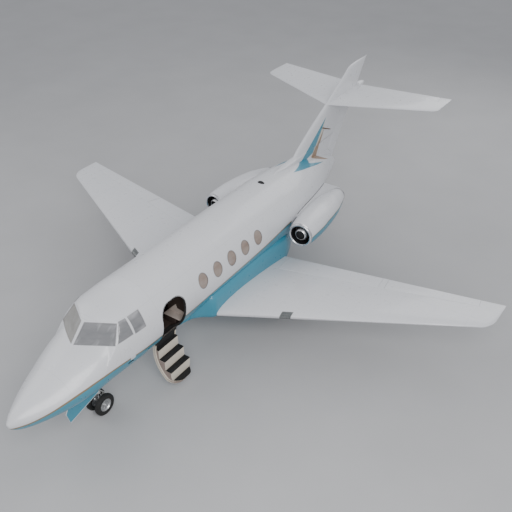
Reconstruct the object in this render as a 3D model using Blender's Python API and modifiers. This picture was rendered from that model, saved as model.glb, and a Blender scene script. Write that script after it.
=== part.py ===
"""Twin-engine business jet parked on its gear, with its airstair door hanging open.

Lengths are metres. The tables below give places as (x, s, z): x to port, s aft of the nose tip,
z above the nose tip. at() turns them into world coordinates, whose origin is on the ground under
the middle of the aircraft, with +X to port, +Y aft and +Z up.
"""
import math

import bmesh
import bpy
from mathutils import Matrix, Vector

# World frame
LENGTH = 15.45
NOSE_Y = -LENGTH / 2
NOSE_HEIGHT = 1.62

# Gaps: between touching pieces, around pins, around moving pieces
GAP = 0.0003
SLIP = 0.006
# Round bars are turned a little about themselves, so that no side lies in a neighbour's mid-plane
ROD_TWIST = Matrix.Rotation(math.radians(6.5), 4, "Z")
PIN_SIDES = 12

# Fuselage
WALL = 0.060
TAIL_WALL = 0.030
AROUND = 28
CABIN_AXIS_Z = 0.533
# station s, half width, top z, bottom z, waist z, roundness of the upper half (2 is an ellipse)
SECTIONS = [
    (0.000, 0.020, 0.020, -0.020, 0.000, 2.00),
    (0.040, 0.075, 0.077, -0.110, 0.004, 2.00),
    (0.150, 0.161, 0.160, -0.212, 0.012, 2.00),
    (0.400, 0.322, 0.273, -0.314, 0.035, 1.75),
    (0.800, 0.523, 0.417, -0.381, 0.080, 1.70),
    (1.250, 0.687, 0.577, -0.421, 0.135, 1.75),
    (1.600, 0.778, 0.698, -0.435, 0.185, 2.00),
    (1.950, 0.840, 0.795, -0.442, 0.250, 2.30),
    (2.360, 0.876, 1.200, -0.442, 0.335, 2.55),
    (2.800, 0.930, 1.320, -0.449, 0.420, 3.00),
    (3.300, 0.975, 1.406, -0.455, 0.490, 2.50),
    (3.780, 0.988, 1.521, -0.455, 0.533, 2.00),
    (9.300, 0.988, 1.521, -0.455, 0.533, 2.00),
    (10.000, 0.950, 1.505, -0.385, 0.550, 2.00),
    (10.800, 0.850, 1.450, -0.230, 0.580, 2.00),
    (11.600, 0.690, 1.340, -0.040, 0.610, 2.00),
    (12.400, 0.480, 1.160, 0.160, 0.630, 2.00),
    (13.000, 0.290, 0.930, 0.310, 0.600, 2.00),
    (13.400, 0.150, 0.700, 0.400, 0.540, 2.00),
    (13.540, 0.060, 0.530, 0.430, 0.480, 2.00),
]
# further stations of the loft, where the windscreen is
FORM_STATIONS = (2.05, 2.15, 2.26, 2.46, 2.58, 2.70)
# top of the nose deck, on which the windscreen stands: station s, z
DECK = [(1.95, 0.795), (2.15, 0.855), (2.45, 1.000), (2.95, 1.200)]
NOSE_SPLIT = 1.25
COCKPIT_SPLIT = 3.78
TAIL_SPLIT = 9.30

# Windscreen: plane of the port front pane, then three panes a side, on the port side: name, outward
# normal, way of the cut through the wall, corners in order.
SCREEN_POINT = (0.042, 1.956, 0.817)
SCREEN_NORMAL = (0.416, -0.634, 0.650)
PANES = [
    ("front", SCREEN_NORMAL, (0.30, -0.66, 0.69),
     [(0.040, 1.965, 0.806), (0.050, 2.349, 1.186), (0.655, 2.727, 1.167), (0.815, 2.450, 0.803)]),
    ("side_fore", (0.826, -0.188, 0.531), (0.78, -0.34, 0.52),
     [(0.835, 2.524, 0.821), (0.656, 2.770, 1.183), (0.694, 2.942, 1.188), (0.905, 2.930, 0.853)]),
    ("side_aft", (0.853, -0.077, 0.516), (0.84, -0.20, 0.50),
     [(0.914, 2.991, 0.832), (0.698, 3.003, 1.191), (0.724, 3.328, 1.197), (0.939, 3.311, 0.838)]),
]
GLASS_RECESS = 0.008
GLASS_LINING = 0.006

# Cabin windows
WINDOW_FIRST_S = 5.40
WINDOW_PITCH = 0.593
WINDOW_COUNT = 5
WINDOW_WIDTH = 0.32
WINDOW_HEIGHT = 0.40
WINDOW_ANGLE = 17.5
WINDOW_SIDES = 12

# Airstair door
DOOR_FORE = 3.88
DOOR_AFT = 4.64
DOOR_SILL = -0.298
DOOR_TOP = 0.970
DOOR_CORNER = 0.30
DOOR_HINGE = (0.563, -0.280)
DOOR_OPEN = 140.0
HINGE_PIN = 0.008
HINGE_LUG = 0.016
TREAD_COUNT = 4
TREAD_DEPTH = 0.175
TREAD_RISE = 0.275
TREAD_FIRST = (0.500, -0.470)
STEP_WIDTH = 0.640

# Wing: leading edge and trailing edge stations at span position w, mid-plane height, thickness
WING_ROOT = 1.000
WING_TIP = 7.165
WING_LE = (5.3225, 0.467)
WING_TE = (8.9774, 0.101)
WING_Z = (-0.5345, 0.0738)
WING_TE_DROP = 0.037
WING_THICKNESS = (0.125, 0.105)
# span position, share of the chord kept at the leading edge, share of the thickness
WING_STATIONS = [(1.000, 0.00, 1.00), (6.900, 0.00, 1.00), (7.040, 0.05, 0.85),
                 (7.120, 0.14, 0.60), (7.165, 0.30, 0.25)]
AIRFOIL_STEPS = 8

# Belly fairing between the wing roots: s, half width, side height, bottom z
FAIRING = [
    (4.74, 0.60, -0.14, -0.54), (5.00, 0.72, -0.08, -0.62), (5.50, 0.90, 0.07, -0.74),
    (5.79, 0.9997, 0.14, -0.78), (8.60, 0.9997, 0.18, -0.80), (9.07, 0.9997, 0.16, -0.76),
    (9.60, 0.84, 0.06, -0.62), (10.10, 0.55, -0.10, -0.40),
]
# share of the half width, share of the way down
FAIRING_SHAPE = [(0.90, 0.00), (1.00, 0.28), (1.00, 0.76), (0.90, 0.92), (0.66, 0.985), (0.00, 1.00)]

# Tailplane
TAIL_LE = (12.8828, 0.4474)
TAIL_TE = (15.0162, 0.1348)
TAIL_Z = 2.6366
TAIL_THICKNESS = (0.068, 0.063)
TAIL_STATIONS = [(0.000, 0.00, 1.00), (2.920, 0.00, 1.00), (3.010, 0.06, 0.75), (3.050, 0.16, 0.35)]

# Control surfaces: start and end span, hinge place as a share of the chord, gap ahead of the nose
FLAP = (1.27, 4.05, 0.760, 0.009)
AILERON = (4.22, 6.60, 0.750, 0.007)
ELEVATOR = (0.25, 2.78, 0.690, 0.007)
TRAILING = 0.004
# height at which the cove's curved wall starts, as a share of the surface's half thickness
COVE_LIP = 0.96
PIN_RADIUS = 0.009
PIN_REACH = 0.034

# Fin: height z, leading edge s, trailing edge s, half thickness
FIN_SECTIONS = [
    (0.560, 9.700, 13.407, 0.115),
    (1.000, 9.500, 13.640, 0.115),
    (1.500, 9.300, 13.996, 0.105),
    (1.550, 10.150, 14.032, 0.104),
    (1.640, 11.240, 14.097, 0.103),
    (2.6364, 12.830, 14.809, 0.085),
]
FIN_CAP_SECTIONS = [
    (2.6368, 12.830, 14.809, 0.085),
    (2.950, 13.330, 15.033, 0.075),
    (3.180, 13.760, 15.197, 0.062),
    (3.330, 14.050, 15.304, 0.050),
    (3.430, 14.380, 15.376, 0.036),
    (3.475, 14.800, 15.420, 0.022),
    (3.491, 15.300, 15.450, 0.008),
]
RUDDER = (1.08, 2.36)
RUDDER_CHORD = (0.62, 0.53)
RUDDER_HALF = (0.052, 0.042)
BULLET_FORE = 14.90
BULLET_AFT = 15.36
BULLET_RADIUS = 0.105
AERIAL_S = 12.63
AERIAL_Z = 2.00
AERIAL_REACH = 0.324

# Engines
ENGINE_X = 1.50
ENGINE_Z = 0.43
# the nacelles start at this station, from which their axes run inwards by this slope
ENGINE_FORE = 9.00
ENGINE_TOE = 0.10
NACELLE_SIDES = 24
# distance along the axis, outer radius, inner radius where the duct has a corner there
NACELLE = [
    (9.000, 0.300, None), (9.010, 0.328, 0.284), (9.050, 0.345, 0.280), (9.200, 0.378, None),
    (9.500, 0.412, 0.345), (9.900, 0.430, 0.380), (10.400, 0.422, 0.380), (10.900, 0.385, None),
    (11.350, 0.295, None), (11.700, 0.215, 0.190),
]
CORE_FORE = 9.460
CORE_AFT = 11.250
CORE_RADIUS = 0.250
CORE_RING = (9.95, 10.05, 0.3797)
SHAFT_RADIUS = 0.040
FAN_RADIUS = 0.285
SPINNER_RADIUS = 0.180
PYLON = (9.75, 11.25, 0.060, 0.50)

# Landing gear
NOSE_AXLE_S = 2.430
NOSE_TYRE = (0.285, 0.125)
NOSE_TRACK = 0.150
NOSE_RIM = 0.165
MAIN_X = 1.420
MAIN_AXLE_S = 8.100
MAIN_TYRE = (0.292, 0.178)
MAIN_TRACK = 0.150
MAIN_RIM = 0.150
WHEEL_SIDES = 24
SLIDE_RADIUS = 0.038
# the tyres stand on a flat side, so the axle is a flat's distance above the ground
FLAT_SHARE = math.cos(math.pi / WHEEL_SIDES)
NOSE_AXLE = (NOSE_AXLE_S, NOSE_TYRE[0] * FLAT_SHARE - NOSE_HEIGHT)
MAIN_AXLE = (MAIN_AXLE_S, MAIN_TYRE[0] * FLAT_SHARE - NOSE_HEIGHT)
AXLE_RADIUS = 0.026
LEG_RADIUS = 0.055
# nose bay: s start, s end, half width
NOSE_BAY = (1.50, 2.66, 0.235)
# nose door outline in (s, z), hanging at the side of the bay
NOSE_DOOR = [(1.52, -0.20), (1.36, -0.90), (2.20, -0.70), (2.24, -0.25)]
NOSE_DOOR_X = 0.262
NOSE_DOOR_THICK = 0.018
JACK_PAD = (2.20, 7.05, 0.050)

# Interior
FLOOR_Z = -0.260
FLOOR_THICK = 0.040
COCKPIT_FLOOR_Z = 0.020
# seat rows: name, side, fronts of the cushions
SEAT_ROWS = [("port", 1, (4.95, 5.85, 6.75, 7.65)),
             ("starboard", -1, (4.45, 5.35, 6.25, 7.15, 8.05))]
SEAT_RAILS = (0.29, 0.45)
SEAT_INNER = 0.25
SEAT_OUTER = 0.70
SEAT_TOP = 0.16
SEAT_DEPTH = 0.50
SEAT_BACK_TOP = 0.66
SEAT_BACK_THICK = 0.12
SEAT_RAIL = 0.05

WHITE = ("white_paint", (0.58, 0.57, 0.57, 1), 0.35, 0.0)
TEAL = ("teal_paint", (0.08, 0.29, 0.38, 1), 0.35, 0.0)
GLASS = ("glass", (0.45, 0.47, 0.48, 1), 0.08, 0.0)
BEIGE = ("beige_trim", (0.27, 0.22, 0.19, 1), 0.60, 0.0)
BROWN = ("brown_lining", (0.035, 0.026, 0.022, 1), 0.80, 0.0)
BLACK = ("black_tread", (0.012, 0.012, 0.012, 1), 0.70, 0.0)
RUBBER = ("tyre_rubber", (0.010, 0.010, 0.010, 1), 0.80, 0.0)
SILVER = ("silver_metal", (0.60, 0.60, 0.60, 1), 0.30, 1.0)
STRUT = ("strut_grey", (0.50, 0.50, 0.50, 1), 0.40, 0.3)
DARK = ("dark_metal", (0.05, 0.05, 0.05, 1), 0.50, 0.8)


def at(x, s, z):
    return Vector((x, s + NOSE_Y, z + NOSE_HEIGHT))


def clear_scene():
    for old in list(bpy.data.objects):
        bpy.data.objects.remove(old, do_unlink=True)
    for name in ("business_jet", "cutters"):
        group = bpy.data.collections.new(name)
        bpy.context.scene.collection.children.link(group)


def paint(look):
    name, color, roughness, metallic = look
    found = bpy.data.materials.get(name)
    if found:
        return found
    made = bpy.data.materials.new(name)
    made.use_nodes = True
    shader = made.node_tree.nodes["Principled BSDF"]
    shader.inputs["Base Color"].default_value = color
    shader.inputs["Roughness"].default_value = roughness
    shader.inputs["Metallic"].default_value = metallic
    return made


def place(bm, name, look=None):
    """Make an object of a bmesh: a piece if it has a look, otherwise a hidden cutter."""
    bmesh.ops.recalc_face_normals(bm, faces=bm.faces)
    mesh = bpy.data.meshes.new(name)
    bm.to_mesh(mesh)
    bm.free()
    made = bpy.data.objects.new(name, mesh)
    if look:
        mesh.materials.append(paint(look))
        mesh.shade_smooth()
        mesh.set_sharp_from_angle(angle=math.radians(35))
        bpy.data.collections["business_jet"].objects.link(made)
    else:
        made.hide_render = True
        made.display_type = "WIRE"
        bpy.data.collections["cutters"].objects.link(made)
    return made


def combine(target, tool, operation):
    step = target.modifiers.new(tool.name, "BOOLEAN")
    step.operation = operation
    step.object = tool
    step.solver = "EXACT"


def cut(target, *tools):
    for tool in tools:
        combine(target, tool, "DIFFERENCE")


def join(target, *tools):
    for tool in tools:
        combine(target, tool, "UNION")


def keep(target, tool):
    combine(target, tool, "INTERSECT")


def bridge(bm, first, second):
    count = len(first)
    for i in range(count):
        j = (i + 1) % count
        bm.faces.new((first[i], first[j], second[j], second[i]))


def loft(rings, name, look=None):
    """Closed solid through like rings of points, capped flat at both ends."""
    bm = bmesh.new()
    loops = [[bm.verts.new(p) for p in ring] for ring in rings]
    for first, second in zip(loops, loops[1:]):
        bridge(bm, first, second)
    bm.faces.new(loops[0])
    bm.faces.new(loops[-1])
    bmesh.ops.triangulate(bm, faces=bm.faces, quad_method="FIXED")
    return place(bm, name, look)


def prism(outline, shift, name, look=None):
    """Solid of a flat outline, extruded along a vector."""
    bm = bmesh.new()
    face = bm.faces.new([bm.verts.new(p) for p in outline])
    made = bmesh.ops.extrude_face_region(bm, geom=[face])["geom"]
    bmesh.ops.translate(bm, verts=[v for v in made if isinstance(v, bmesh.types.BMVert)], vec=shift)
    return place(bm, name, look)


def pivot(made, point):
    """Move an object's origin to a world point on its joint's axis; its shape stays in place."""
    made.data.transform(Matrix.Translation(-point))
    made.location = point


def box(low, high, name, look=None):
    """Upright block between two corners."""
    near, far = at(*low), at(*high)
    bm = bmesh.new()
    stretch = Matrix.Diagonal((far - near).to_4d())
    bmesh.ops.create_cube(bm, size=1.0, matrix=Matrix.Translation((near + far) / 2) @ stretch)
    return place(bm, name, look)


def rod(start, end, radius, name, look=None, sides=PIN_SIDES):
    """Round bar between two world points."""
    axis = end - start
    bm = bmesh.new()
    turn = axis.to_track_quat("Z", "Y").to_matrix().to_4x4()
    bmesh.ops.create_cone(bm, cap_ends=True, segments=sides, radius1=radius, radius2=radius,
                          depth=axis.length,
                          matrix=Matrix.Translation((start + end) / 2) @ turn @ ROD_TWIST)
    return place(bm, name, look)


def turned(profile, origin, axis, name, look=None, sides=WHEEL_SIDES):
    """Turned solid with a flat side below. The profile is (distance along the axis, radius), outer side
    first from low to high, and it is closed where it doesn't reach the axis."""
    bm = bmesh.new()
    points = [bm.verts.new((r, 0, h)) for h, r in reversed(profile)]
    for first, second in zip(points, points[1:]):
        bm.edges.new((first, second))
    if min(r for _, r in profile) > 0:
        bm.edges.new((points[-1], points[0]))
    made = place(bm, name, look)
    spin = made.modifiers.new("turned", "SCREW")
    spin.axis = "Z"
    spin.steps = spin.render_steps = sides
    spin.use_merge_vertices = True
    spin.merge_threshold = 0.00001
    turn = axis.to_track_quat("Z", "Y").to_matrix().to_4x4()
    made.matrix_world = Matrix.Translation(origin) @ turn @ Matrix.Rotation(math.pi / sides, 4, "Z")
    return made


def bore(radius, sides):
    """Corner radius of a faceted hole in which a round bar of this radius turns freely."""
    return (radius + GAP) / math.cos(math.pi / sides)


def lerp(a, b, t):
    return a + (b - a) * t


def section(s):
    """Row of the section table at station s."""
    for low, high in zip(SECTIONS, SECTIONS[1:]):
        if low[0] <= s <= high[0]:
            t = (s - low[0]) / (high[0] - low[0])
            return [lerp(a, b, t) for a, b in zip(low, high)]
    return list(SECTIONS[-1])


def screen_limit(x, s, roof, crown, inset):
    """Height of the skin beside the windscreen: the roof, cut off by the flat panes down to the deck.
    The crown is the roof's height in mid-plane, above which the deck has a height of its own."""
    if not DECK[0][0] < s < DECK[-1][0]:
        return roof
    for (s_low, z_low), (s_high, z_high) in zip(DECK, DECK[1:]):
        if s_low <= s <= s_high:
            deck_crown = lerp(z_low, z_high, (s - s_low) / (s_high - s_low)) - inset
    waist = section(s)[4]
    deck = waist + (roof - waist) * (deck_crown - waist) / (crown - waist)
    lean = SCREEN_NORMAL[0] * (abs(x) - SCREEN_POINT[0]) + SCREEN_NORMAL[1] * (s - SCREEN_POINT[1])
    pane = SCREEN_POINT[2] - (lean + inset) / SCREEN_NORMAL[2]
    return min(roof, max(pane, deck))


def hull_ring(s, inset=0.0):
    """Points of the fuselage's section at station s, moved inwards by inset."""
    _, half, top, bottom, waist, roundness = section(s)
    points = []
    for i in range(AROUND):
        angle = 2 * math.pi * (i + 0.5) / AROUND
        cosine, sine = math.cos(angle), math.sin(angle)
        if sine >= 0:
            power = 2 / roundness
            x = math.copysign(abs(cosine) ** power, cosine) * (half - inset)
            z = waist + abs(sine) ** power * (top - inset - waist)
            z = screen_limit(x, s, z, top - inset, inset)
        else:
            x = cosine * (half - inset)
            z = waist + sine * (waist - bottom - inset)
        points.append(at(x, s, z))
    return points


def hull_rings(start, end, inset=0.0):
    inner = sorted(FORM_STATIONS + tuple(row[0] for row in SECTIONS))
    stations = [start] + [s for s in inner if start + 0.01 < s < end - 0.01] + [end]
    return [hull_ring(s, inset) for s in stations]


def hull(start, end, inset, name, look=None):
    return loft(hull_rings(start, end, inset), name, look)


def flatten(point, origin, normal):
    return point - normal * (point - origin).dot(normal)


def pane_prism(pane, side, shrink, inner, outer, name):
    """Prism of one windscreen pane, from inner to outer distance along its way through the wall."""
    _, normal, way, corners = pane
    out = Vector((normal[0] * side, normal[1], normal[2])).normalized()
    along = Vector((way[0] * side, way[1], way[2])).normalized()
    centre = sum((at(x * side, s, z) for x, s, z in corners), Vector()) / len(corners)
    rim = []
    for x, s, z in corners:
        corner = at(x * side, s, z)
        reach = corner - centre
        rim.append(flatten(corner - reach.normalized() * shrink, centre, out) + along * inner)
    return prism(rim, along * (outer - inner), name)


def window_centre(index, side):
    angle = math.radians(WINDOW_ANGLE)
    s = WINDOW_FIRST_S + WINDOW_PITCH * index
    radial = Vector((math.cos(angle) * side, 0, math.sin(angle)))
    return at(0, s, CABIN_AXIS_Z), radial


def window_plug(index, side, shrink, inner, outer, name):
    """Oval prism of one cabin window, along the radius through its centre."""
    axis_point, radial = window_centre(index, side)
    up = Vector((-radial.z * side, 0, abs(radial.x)))
    aft = Vector((0, 1, 0))
    rim = []
    for i in range(WINDOW_SIDES):
        turn = 2 * math.pi * (i + 0.5) / WINDOW_SIDES
        reach = aft * math.cos(turn) * (WINDOW_WIDTH / 2 - shrink)
        reach += up * math.sin(turn) * (WINDOW_HEIGHT / 2 - shrink)
        rim.append(axis_point + radial * inner + reach)
    return prism(rim, radial * (outer - inner), name)


def door_outline(inset, sill):
    """Rounded outline of the doorway in (s, z)."""
    points = [(DOOR_FORE + inset, sill), (DOOR_AFT - inset, sill)]
    radius = DOOR_CORNER
    top = DOOR_TOP - inset
    for centre_s, start in ((DOOR_AFT - inset - radius, 0), (DOOR_FORE + inset + radius, 90)):
        for i in range(7):
            turn = math.radians(start + 15 * i)
            points.append((centre_s + radius * math.cos(turn), top - radius + radius * math.sin(turn)))
    return points


def door_prism(inset, sill, name):
    outline = [at(0.30, s, z) for s, z in door_outline(inset, sill)]
    return prism(outline, Vector((1.0, 0, 0)), name)


def hinge_point(s):
    return at(DOOR_HINGE[0], s, DOOR_HINGE[1])


def swing_open(made):
    """Turn a piece modelled in its closed place about the door's hinge line."""
    pivot = hinge_point(DOOR_FORE)
    turn = Matrix.Rotation(math.radians(DOOR_OPEN), 4, "Y")
    made.data.transform(Matrix.Translation(-pivot))
    made.matrix_world = Matrix.Translation(pivot) @ turn


def build_fuselage():
    hull(0.0, NOSE_SPLIT, 0, "nose_cone", WHITE)

    cockpit = hull(NOSE_SPLIT + GAP, COCKPIT_SPLIT - GAP, 0, "cockpit_section", WHITE)
    cut(cockpit, hull(NOSE_SPLIT + WALL, COCKPIT_SPLIT + WALL, WALL, "cockpit_hollow"))
    for pane in PANES:
        for side in (1, -1):
            cut(cockpit, pane_prism(pane, side, 0.0, -0.16, 0.25, f"{pane[0]}_opening_{side}"))
    low_s, high_s, half = NOSE_BAY
    cut(cockpit, box((-half, low_s, -0.60), (half, high_s, -0.05), "nose_bay_opening"))

    cabin = loft(hull_rings(COCKPIT_SPLIT, TAIL_SPLIT - GAP), "cabin_section", WHITE)
    cut(cabin, hull(COCKPIT_SPLIT - 0.05, TAIL_SPLIT + 0.05, WALL, "cabin_hollow"))
    for index in range(WINDOW_COUNT):
        for side in (1, -1):
            cut(cabin, window_plug(index, side, 0, 0.70, 1.20, f"window_opening_{index}_{side}"))
    cut(cabin, door_prism(0, DOOR_SILL, "doorway"))
    for name, s_from, s_to in (("fore", DOOR_FORE - 0.035, DOOR_FORE - 0.001),
                               ("aft", DOOR_AFT + 0.001, DOOR_AFT + 0.035)):
        join(cabin, rod(hinge_point(s_from), hinge_point(s_to), HINGE_LUG, f"hinge_lug_{name}"))
    cut(cabin, rod(hinge_point(DOOR_FORE - 0.05), hinge_point(DOOR_AFT + 0.05),
                   bore(HINGE_PIN, PIN_SIDES), "hinge_bore"))

    tail = hull(TAIL_SPLIT, SECTIONS[-1][0], 0, "tail_section", WHITE)
    cut(tail, hull(TAIL_SPLIT - 0.05, SECTIONS[-3][0], TAIL_WALL, "tail_hollow"))


def build_glass():
    lining_out = WALL + GAP
    lining_in = WALL + GLASS_LINING
    screen = hull(1.90, COCKPIT_SPLIT, lining_out, "windscreen_glass", GLASS)
    keep(screen, box((-1.2, 1.93, 0.72), (1.2, 3.40, 1.27), "windscreen_band"))
    for pane in PANES:
        for side in (1, -1):
            join(screen, pane_prism(pane, side, 0.004, -lining_in - 0.02, -GLASS_RECESS,
                                    f"{pane[0]}_plug_{side}"))
    cut(screen, hull(1.60, COCKPIT_SPLIT + 0.05, lining_in, "windscreen_hollow"))

    last = WINDOW_FIRST_S + WINDOW_PITCH * (WINDOW_COUNT - 1)
    start, end = WINDOW_FIRST_S - 0.22, last + 0.22
    for side, name in ((1, "port"), (-1, "starboard")):
        strip = hull(start, end, lining_out, f"cabin_windows_{name}", GLASS)
        keep(strip, box((min(side * 0.60, side * 1.2), start - 0.1, 0.58),
                        (max(side * 0.60, side * 1.2), end + 0.1, 1.06), f"window_band_{name}"))
        skin = hull(start, end, GLASS_RECESS, f"window_skin_{name}")
        for index in range(WINDOW_COUNT):
            plug = window_plug(index, side, 0.002, 0.86, 1.10, f"window_plug_{name}_{index}")
            keep(plug, skin)
            join(strip, plug)
        cut(strip, hull(start - 0.1, end + 0.1, lining_in, f"window_hollow_{name}"))


def build_airstair():
    door = hull(DOOR_FORE - 0.05, DOOR_AFT + 0.05, 0, "airstair_door", WHITE)
    tools = [hull(DOOR_FORE - 0.1, DOOR_AFT + 0.1, WALL, "door_hollow"),
             door_prism(SLIP, DOOR_HINGE[1] + 0.002, "door_outline")]
    pins = rod(hinge_point(DOOR_FORE - 0.030), hinge_point(DOOR_AFT + 0.030), HINGE_PIN, "door_pins")
    for piece in [door, *tools, pins]:
        swing_open(piece)
    cut(door, tools[0])
    keep(door, tools[1])
    join(door, pins)

    # the steps fill the hollow of the open door, from the tread line down to its inner face
    first_x, first_z = TREAD_FIRST
    profile = [(first_x - 0.25, first_z)]
    for k in range(TREAD_COUNT):
        front = first_x + TREAD_DEPTH * (k + 1)
        level = first_z - TREAD_RISE * k
        profile += [(front, level), (front, level - TREAD_RISE)]
    profile.append((first_x - 0.25, first_z - TREAD_RISE * TREAD_COUNT))
    middle = (DOOR_FORE + DOOR_AFT) / 2
    rim = [at(x, middle - STEP_WIDTH / 2, z) for x, z in profile]
    stair = prism(rim, Vector((0, STEP_WIDTH, 0)), "airstair_steps", BEIGE)
    room = hull(DOOR_FORE - 0.05, DOOR_AFT + 0.05, WALL + GAP, "steps_room")
    swing_open(room)
    keep(stair, room)
    pivot(stair, hinge_point(DOOR_FORE))


def build_interior():
    wall_face = hull(NOSE_SPLIT + WALL + GAP, TAIL_SPLIT, WALL + GAP, "inner_wall")
    floor = box((-0.80, COCKPIT_SPLIT - 0.02, FLOOR_Z - FLOOR_THICK), (0.80, 9.12, FLOOR_Z),
                "cabin_floor", BROWN)
    keep(floor, wall_face)
    cut(floor, box((0.40, DOOR_FORE - 0.05, FLOOR_Z - 0.1), (0.9, DOOR_AFT + 0.05, FLOOR_Z + 0.1),
                   "door_threshold"))
    deck = box((-0.90, 1.75, COCKPIT_FLOOR_Z - FLOOR_THICK),
               (0.90, COCKPIT_SPLIT - 0.10, COCKPIT_FLOOR_Z), "cockpit_floor", BROWN)
    keep(deck, wall_face)
    for name, start, end in (("cockpit_bulkhead", COCKPIT_SPLIT - 0.10 + GAP, COCKPIT_SPLIT - 0.06),
                             ("aft_bulkhead", 9.12 + GAP, 9.16)):
        wall = box((-1.1, start, -0.60), (1.1, end, 1.60), name, BROWN)
        keep(wall, wall_face)
        if name == "cockpit_bulkhead":
            cut(wall, box((-0.26, start - 0.1, COCKPIT_FLOOR_Z), (0.26, end + 0.1, 1.25), "passage"))

    panel = box((-0.66, 2.30, 0.30), (0.66, 2.42, 0.72), "instrument_panel", BLACK)
    join(panel, box((-0.16, 2.41, COCKPIT_FLOOR_Z + GAP), (0.16, 2.85, 0.32), "pedestal"))
    keep(panel, hull(1.6, 3.6, WALL + GLASS_LINING + GAP, "panel_room"))

    crew = box((-0.56, 3.02, COCKPIT_FLOOR_Z + GAP), (0.56, 3.50, COCKPIT_FLOOR_Z + 0.06),
               "crew_seats", BEIGE)
    for side in (1, -1):
        near, far = sorted((side * 0.19, side * 0.60))
        join(crew, box((near, 3.00, 0.05), (far, 3.46, 0.36), f"crew_cushion_{side}"),
             box((near, 3.38, 0.30), (far, 3.50, 0.92), f"crew_back_{side}"))

    cabinet = box((-0.80, 3.86, FLOOR_Z + GAP), (-0.34, 4.36, 0.62), "galley_cabinet", BEIGE)
    keep(cabinet, hull(3.80, 4.50, WALL + GAP, "cabinet_room"))

    for name, way, fronts in SEAT_ROWS:
        base = FLOOR_Z + GAP
        near, far = sorted((way * SEAT_RAILS[0], way * SEAT_RAILS[1]))
        row = box((near, fronts[0] - 0.05, base), (far, fronts[-1] + SEAT_DEPTH + 0.17, base + SEAT_RAIL),
                  f"cabin_seats_{name}", BEIGE)
        for i, front in enumerate(fronts):
            join(row, box((near, front + 0.06, base + 0.02), (far, front + SEAT_DEPTH, 0.02),
                          f"seat_base_{name}_{i}"))
            end = front + SEAT_DEPTH
            outline = [(front, 0.0), (front, SEAT_TOP), (end, SEAT_TOP), (end + 0.06, SEAT_BACK_TOP),
                       (end + 0.06 + SEAT_BACK_THICK, SEAT_BACK_TOP), (end + SEAT_BACK_THICK, 0.0)]
            rim = [at(way * SEAT_INNER, s, z) for s, z in outline]
            shift = Vector((way * (SEAT_OUTER - SEAT_INNER), 0, 0))
            join(row, prism(rim, shift, f"seat_{name}_{i}"))


def airfoil(half_thickness):
    """Points of a symmetric airfoil of unit chord as (x, z), blunt at the trailing edge."""
    def half(x):
        poly = 0.2969 * math.sqrt(x) - 0.1260 * x - 0.3516 * x ** 2 + 0.2843 * x ** 3 - 0.1036 * x ** 4
        return half_thickness * 10 * poly + TRAILING / 2 * x
    shares = [(1 - math.cos(math.pi * i / AIRFOIL_STEPS)) / 2 for i in range(AIRFOIL_STEPS + 1)]
    upper = [(x, half(x)) for x in reversed(shares)]
    return upper + [(x, -half(x)) for x in shares[1:]]


class Surface:
    """Wing or tailplane half: straight edges, airfoil sections at span positions."""

    def __init__(self, leading, trailing, height, drop, thickness, stations):
        self.leading = leading
        self.trailing = trailing
        self.height = height
        self.drop = drop
        self.thickness = thickness
        self.stations = stations

    def edges(self, w):
        fore = self.leading[0] + self.leading[1] * w
        aft = self.trailing[0] + self.trailing[1] * w
        z = self.height[0] + self.height[1] * w
        return fore, aft, z, z - self.drop * (1 - w / self.stations[-1][0])

    def half(self, w):
        return lerp(*self.thickness, w / self.stations[-1][0]) / 2

    def on_chord(self, w, share, side):
        fore, aft, z_fore, z_aft = self.edges(w)
        return at(w * side, lerp(fore, aft, share), lerp(z_fore, z_aft, share))

    def ring(self, w, side, nose_cut=0.0, thin=1.0, grow=0.0):
        fore, aft, z_fore, z_aft = self.edges(w)
        start = lerp(fore, aft, nose_cut)
        z_start = lerp(z_fore, z_aft, nose_cut)
        chord = aft - start
        half = self.half(w) * thin
        points = []
        for x, z in airfoil(half):
            s = start + x * chord + (x - 0.5) * 6 * grow
            rise = math.copysign(grow, z) if z else 0.0
            points.append(at(w * side, s, lerp(z_start, z_aft, x) + z * chord + rise))
        return points

    def half_at(self, w, share):
        fore, aft, _, _ = self.edges(w)
        x = share
        poly = 0.2969 * math.sqrt(x) - 0.1260 * x - 0.3516 * x ** 2 + 0.2843 * x ** 3 - 0.1036 * x ** 4
        return self.half(w) * 10 * poly * (aft - fore)


def control_frame(surface, spec, side):
    """Hinge line of a control surface, its direction, and its aft and up directions."""
    start, end, share, _ = spec
    first = surface.on_chord(start, share, side)
    last = surface.on_chord(end, share, side)
    along = (last - first).normalized()
    aft_edge = surface.on_chord((start + end) / 2, 1.0, side) - surface.on_chord((start + end) / 2, share, side)
    aft = (aft_edge - along * aft_edge.dot(along)).normalized()
    up = aft.cross(along) * side
    if up.z < 0:
        up = -up
    return first, last, along, aft, up


def chord_behind(surface, spec, side, point, along):
    """Distance from a hinge point to the trailing edge, square to the hinge line."""
    near = surface.on_chord(spec[0], 1.0, side)
    far = surface.on_chord(spec[1], 1.0, side)
    edge = far - near
    share = (point - near).dot(along) / edge.dot(along)
    return near + edge * share - point


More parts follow.
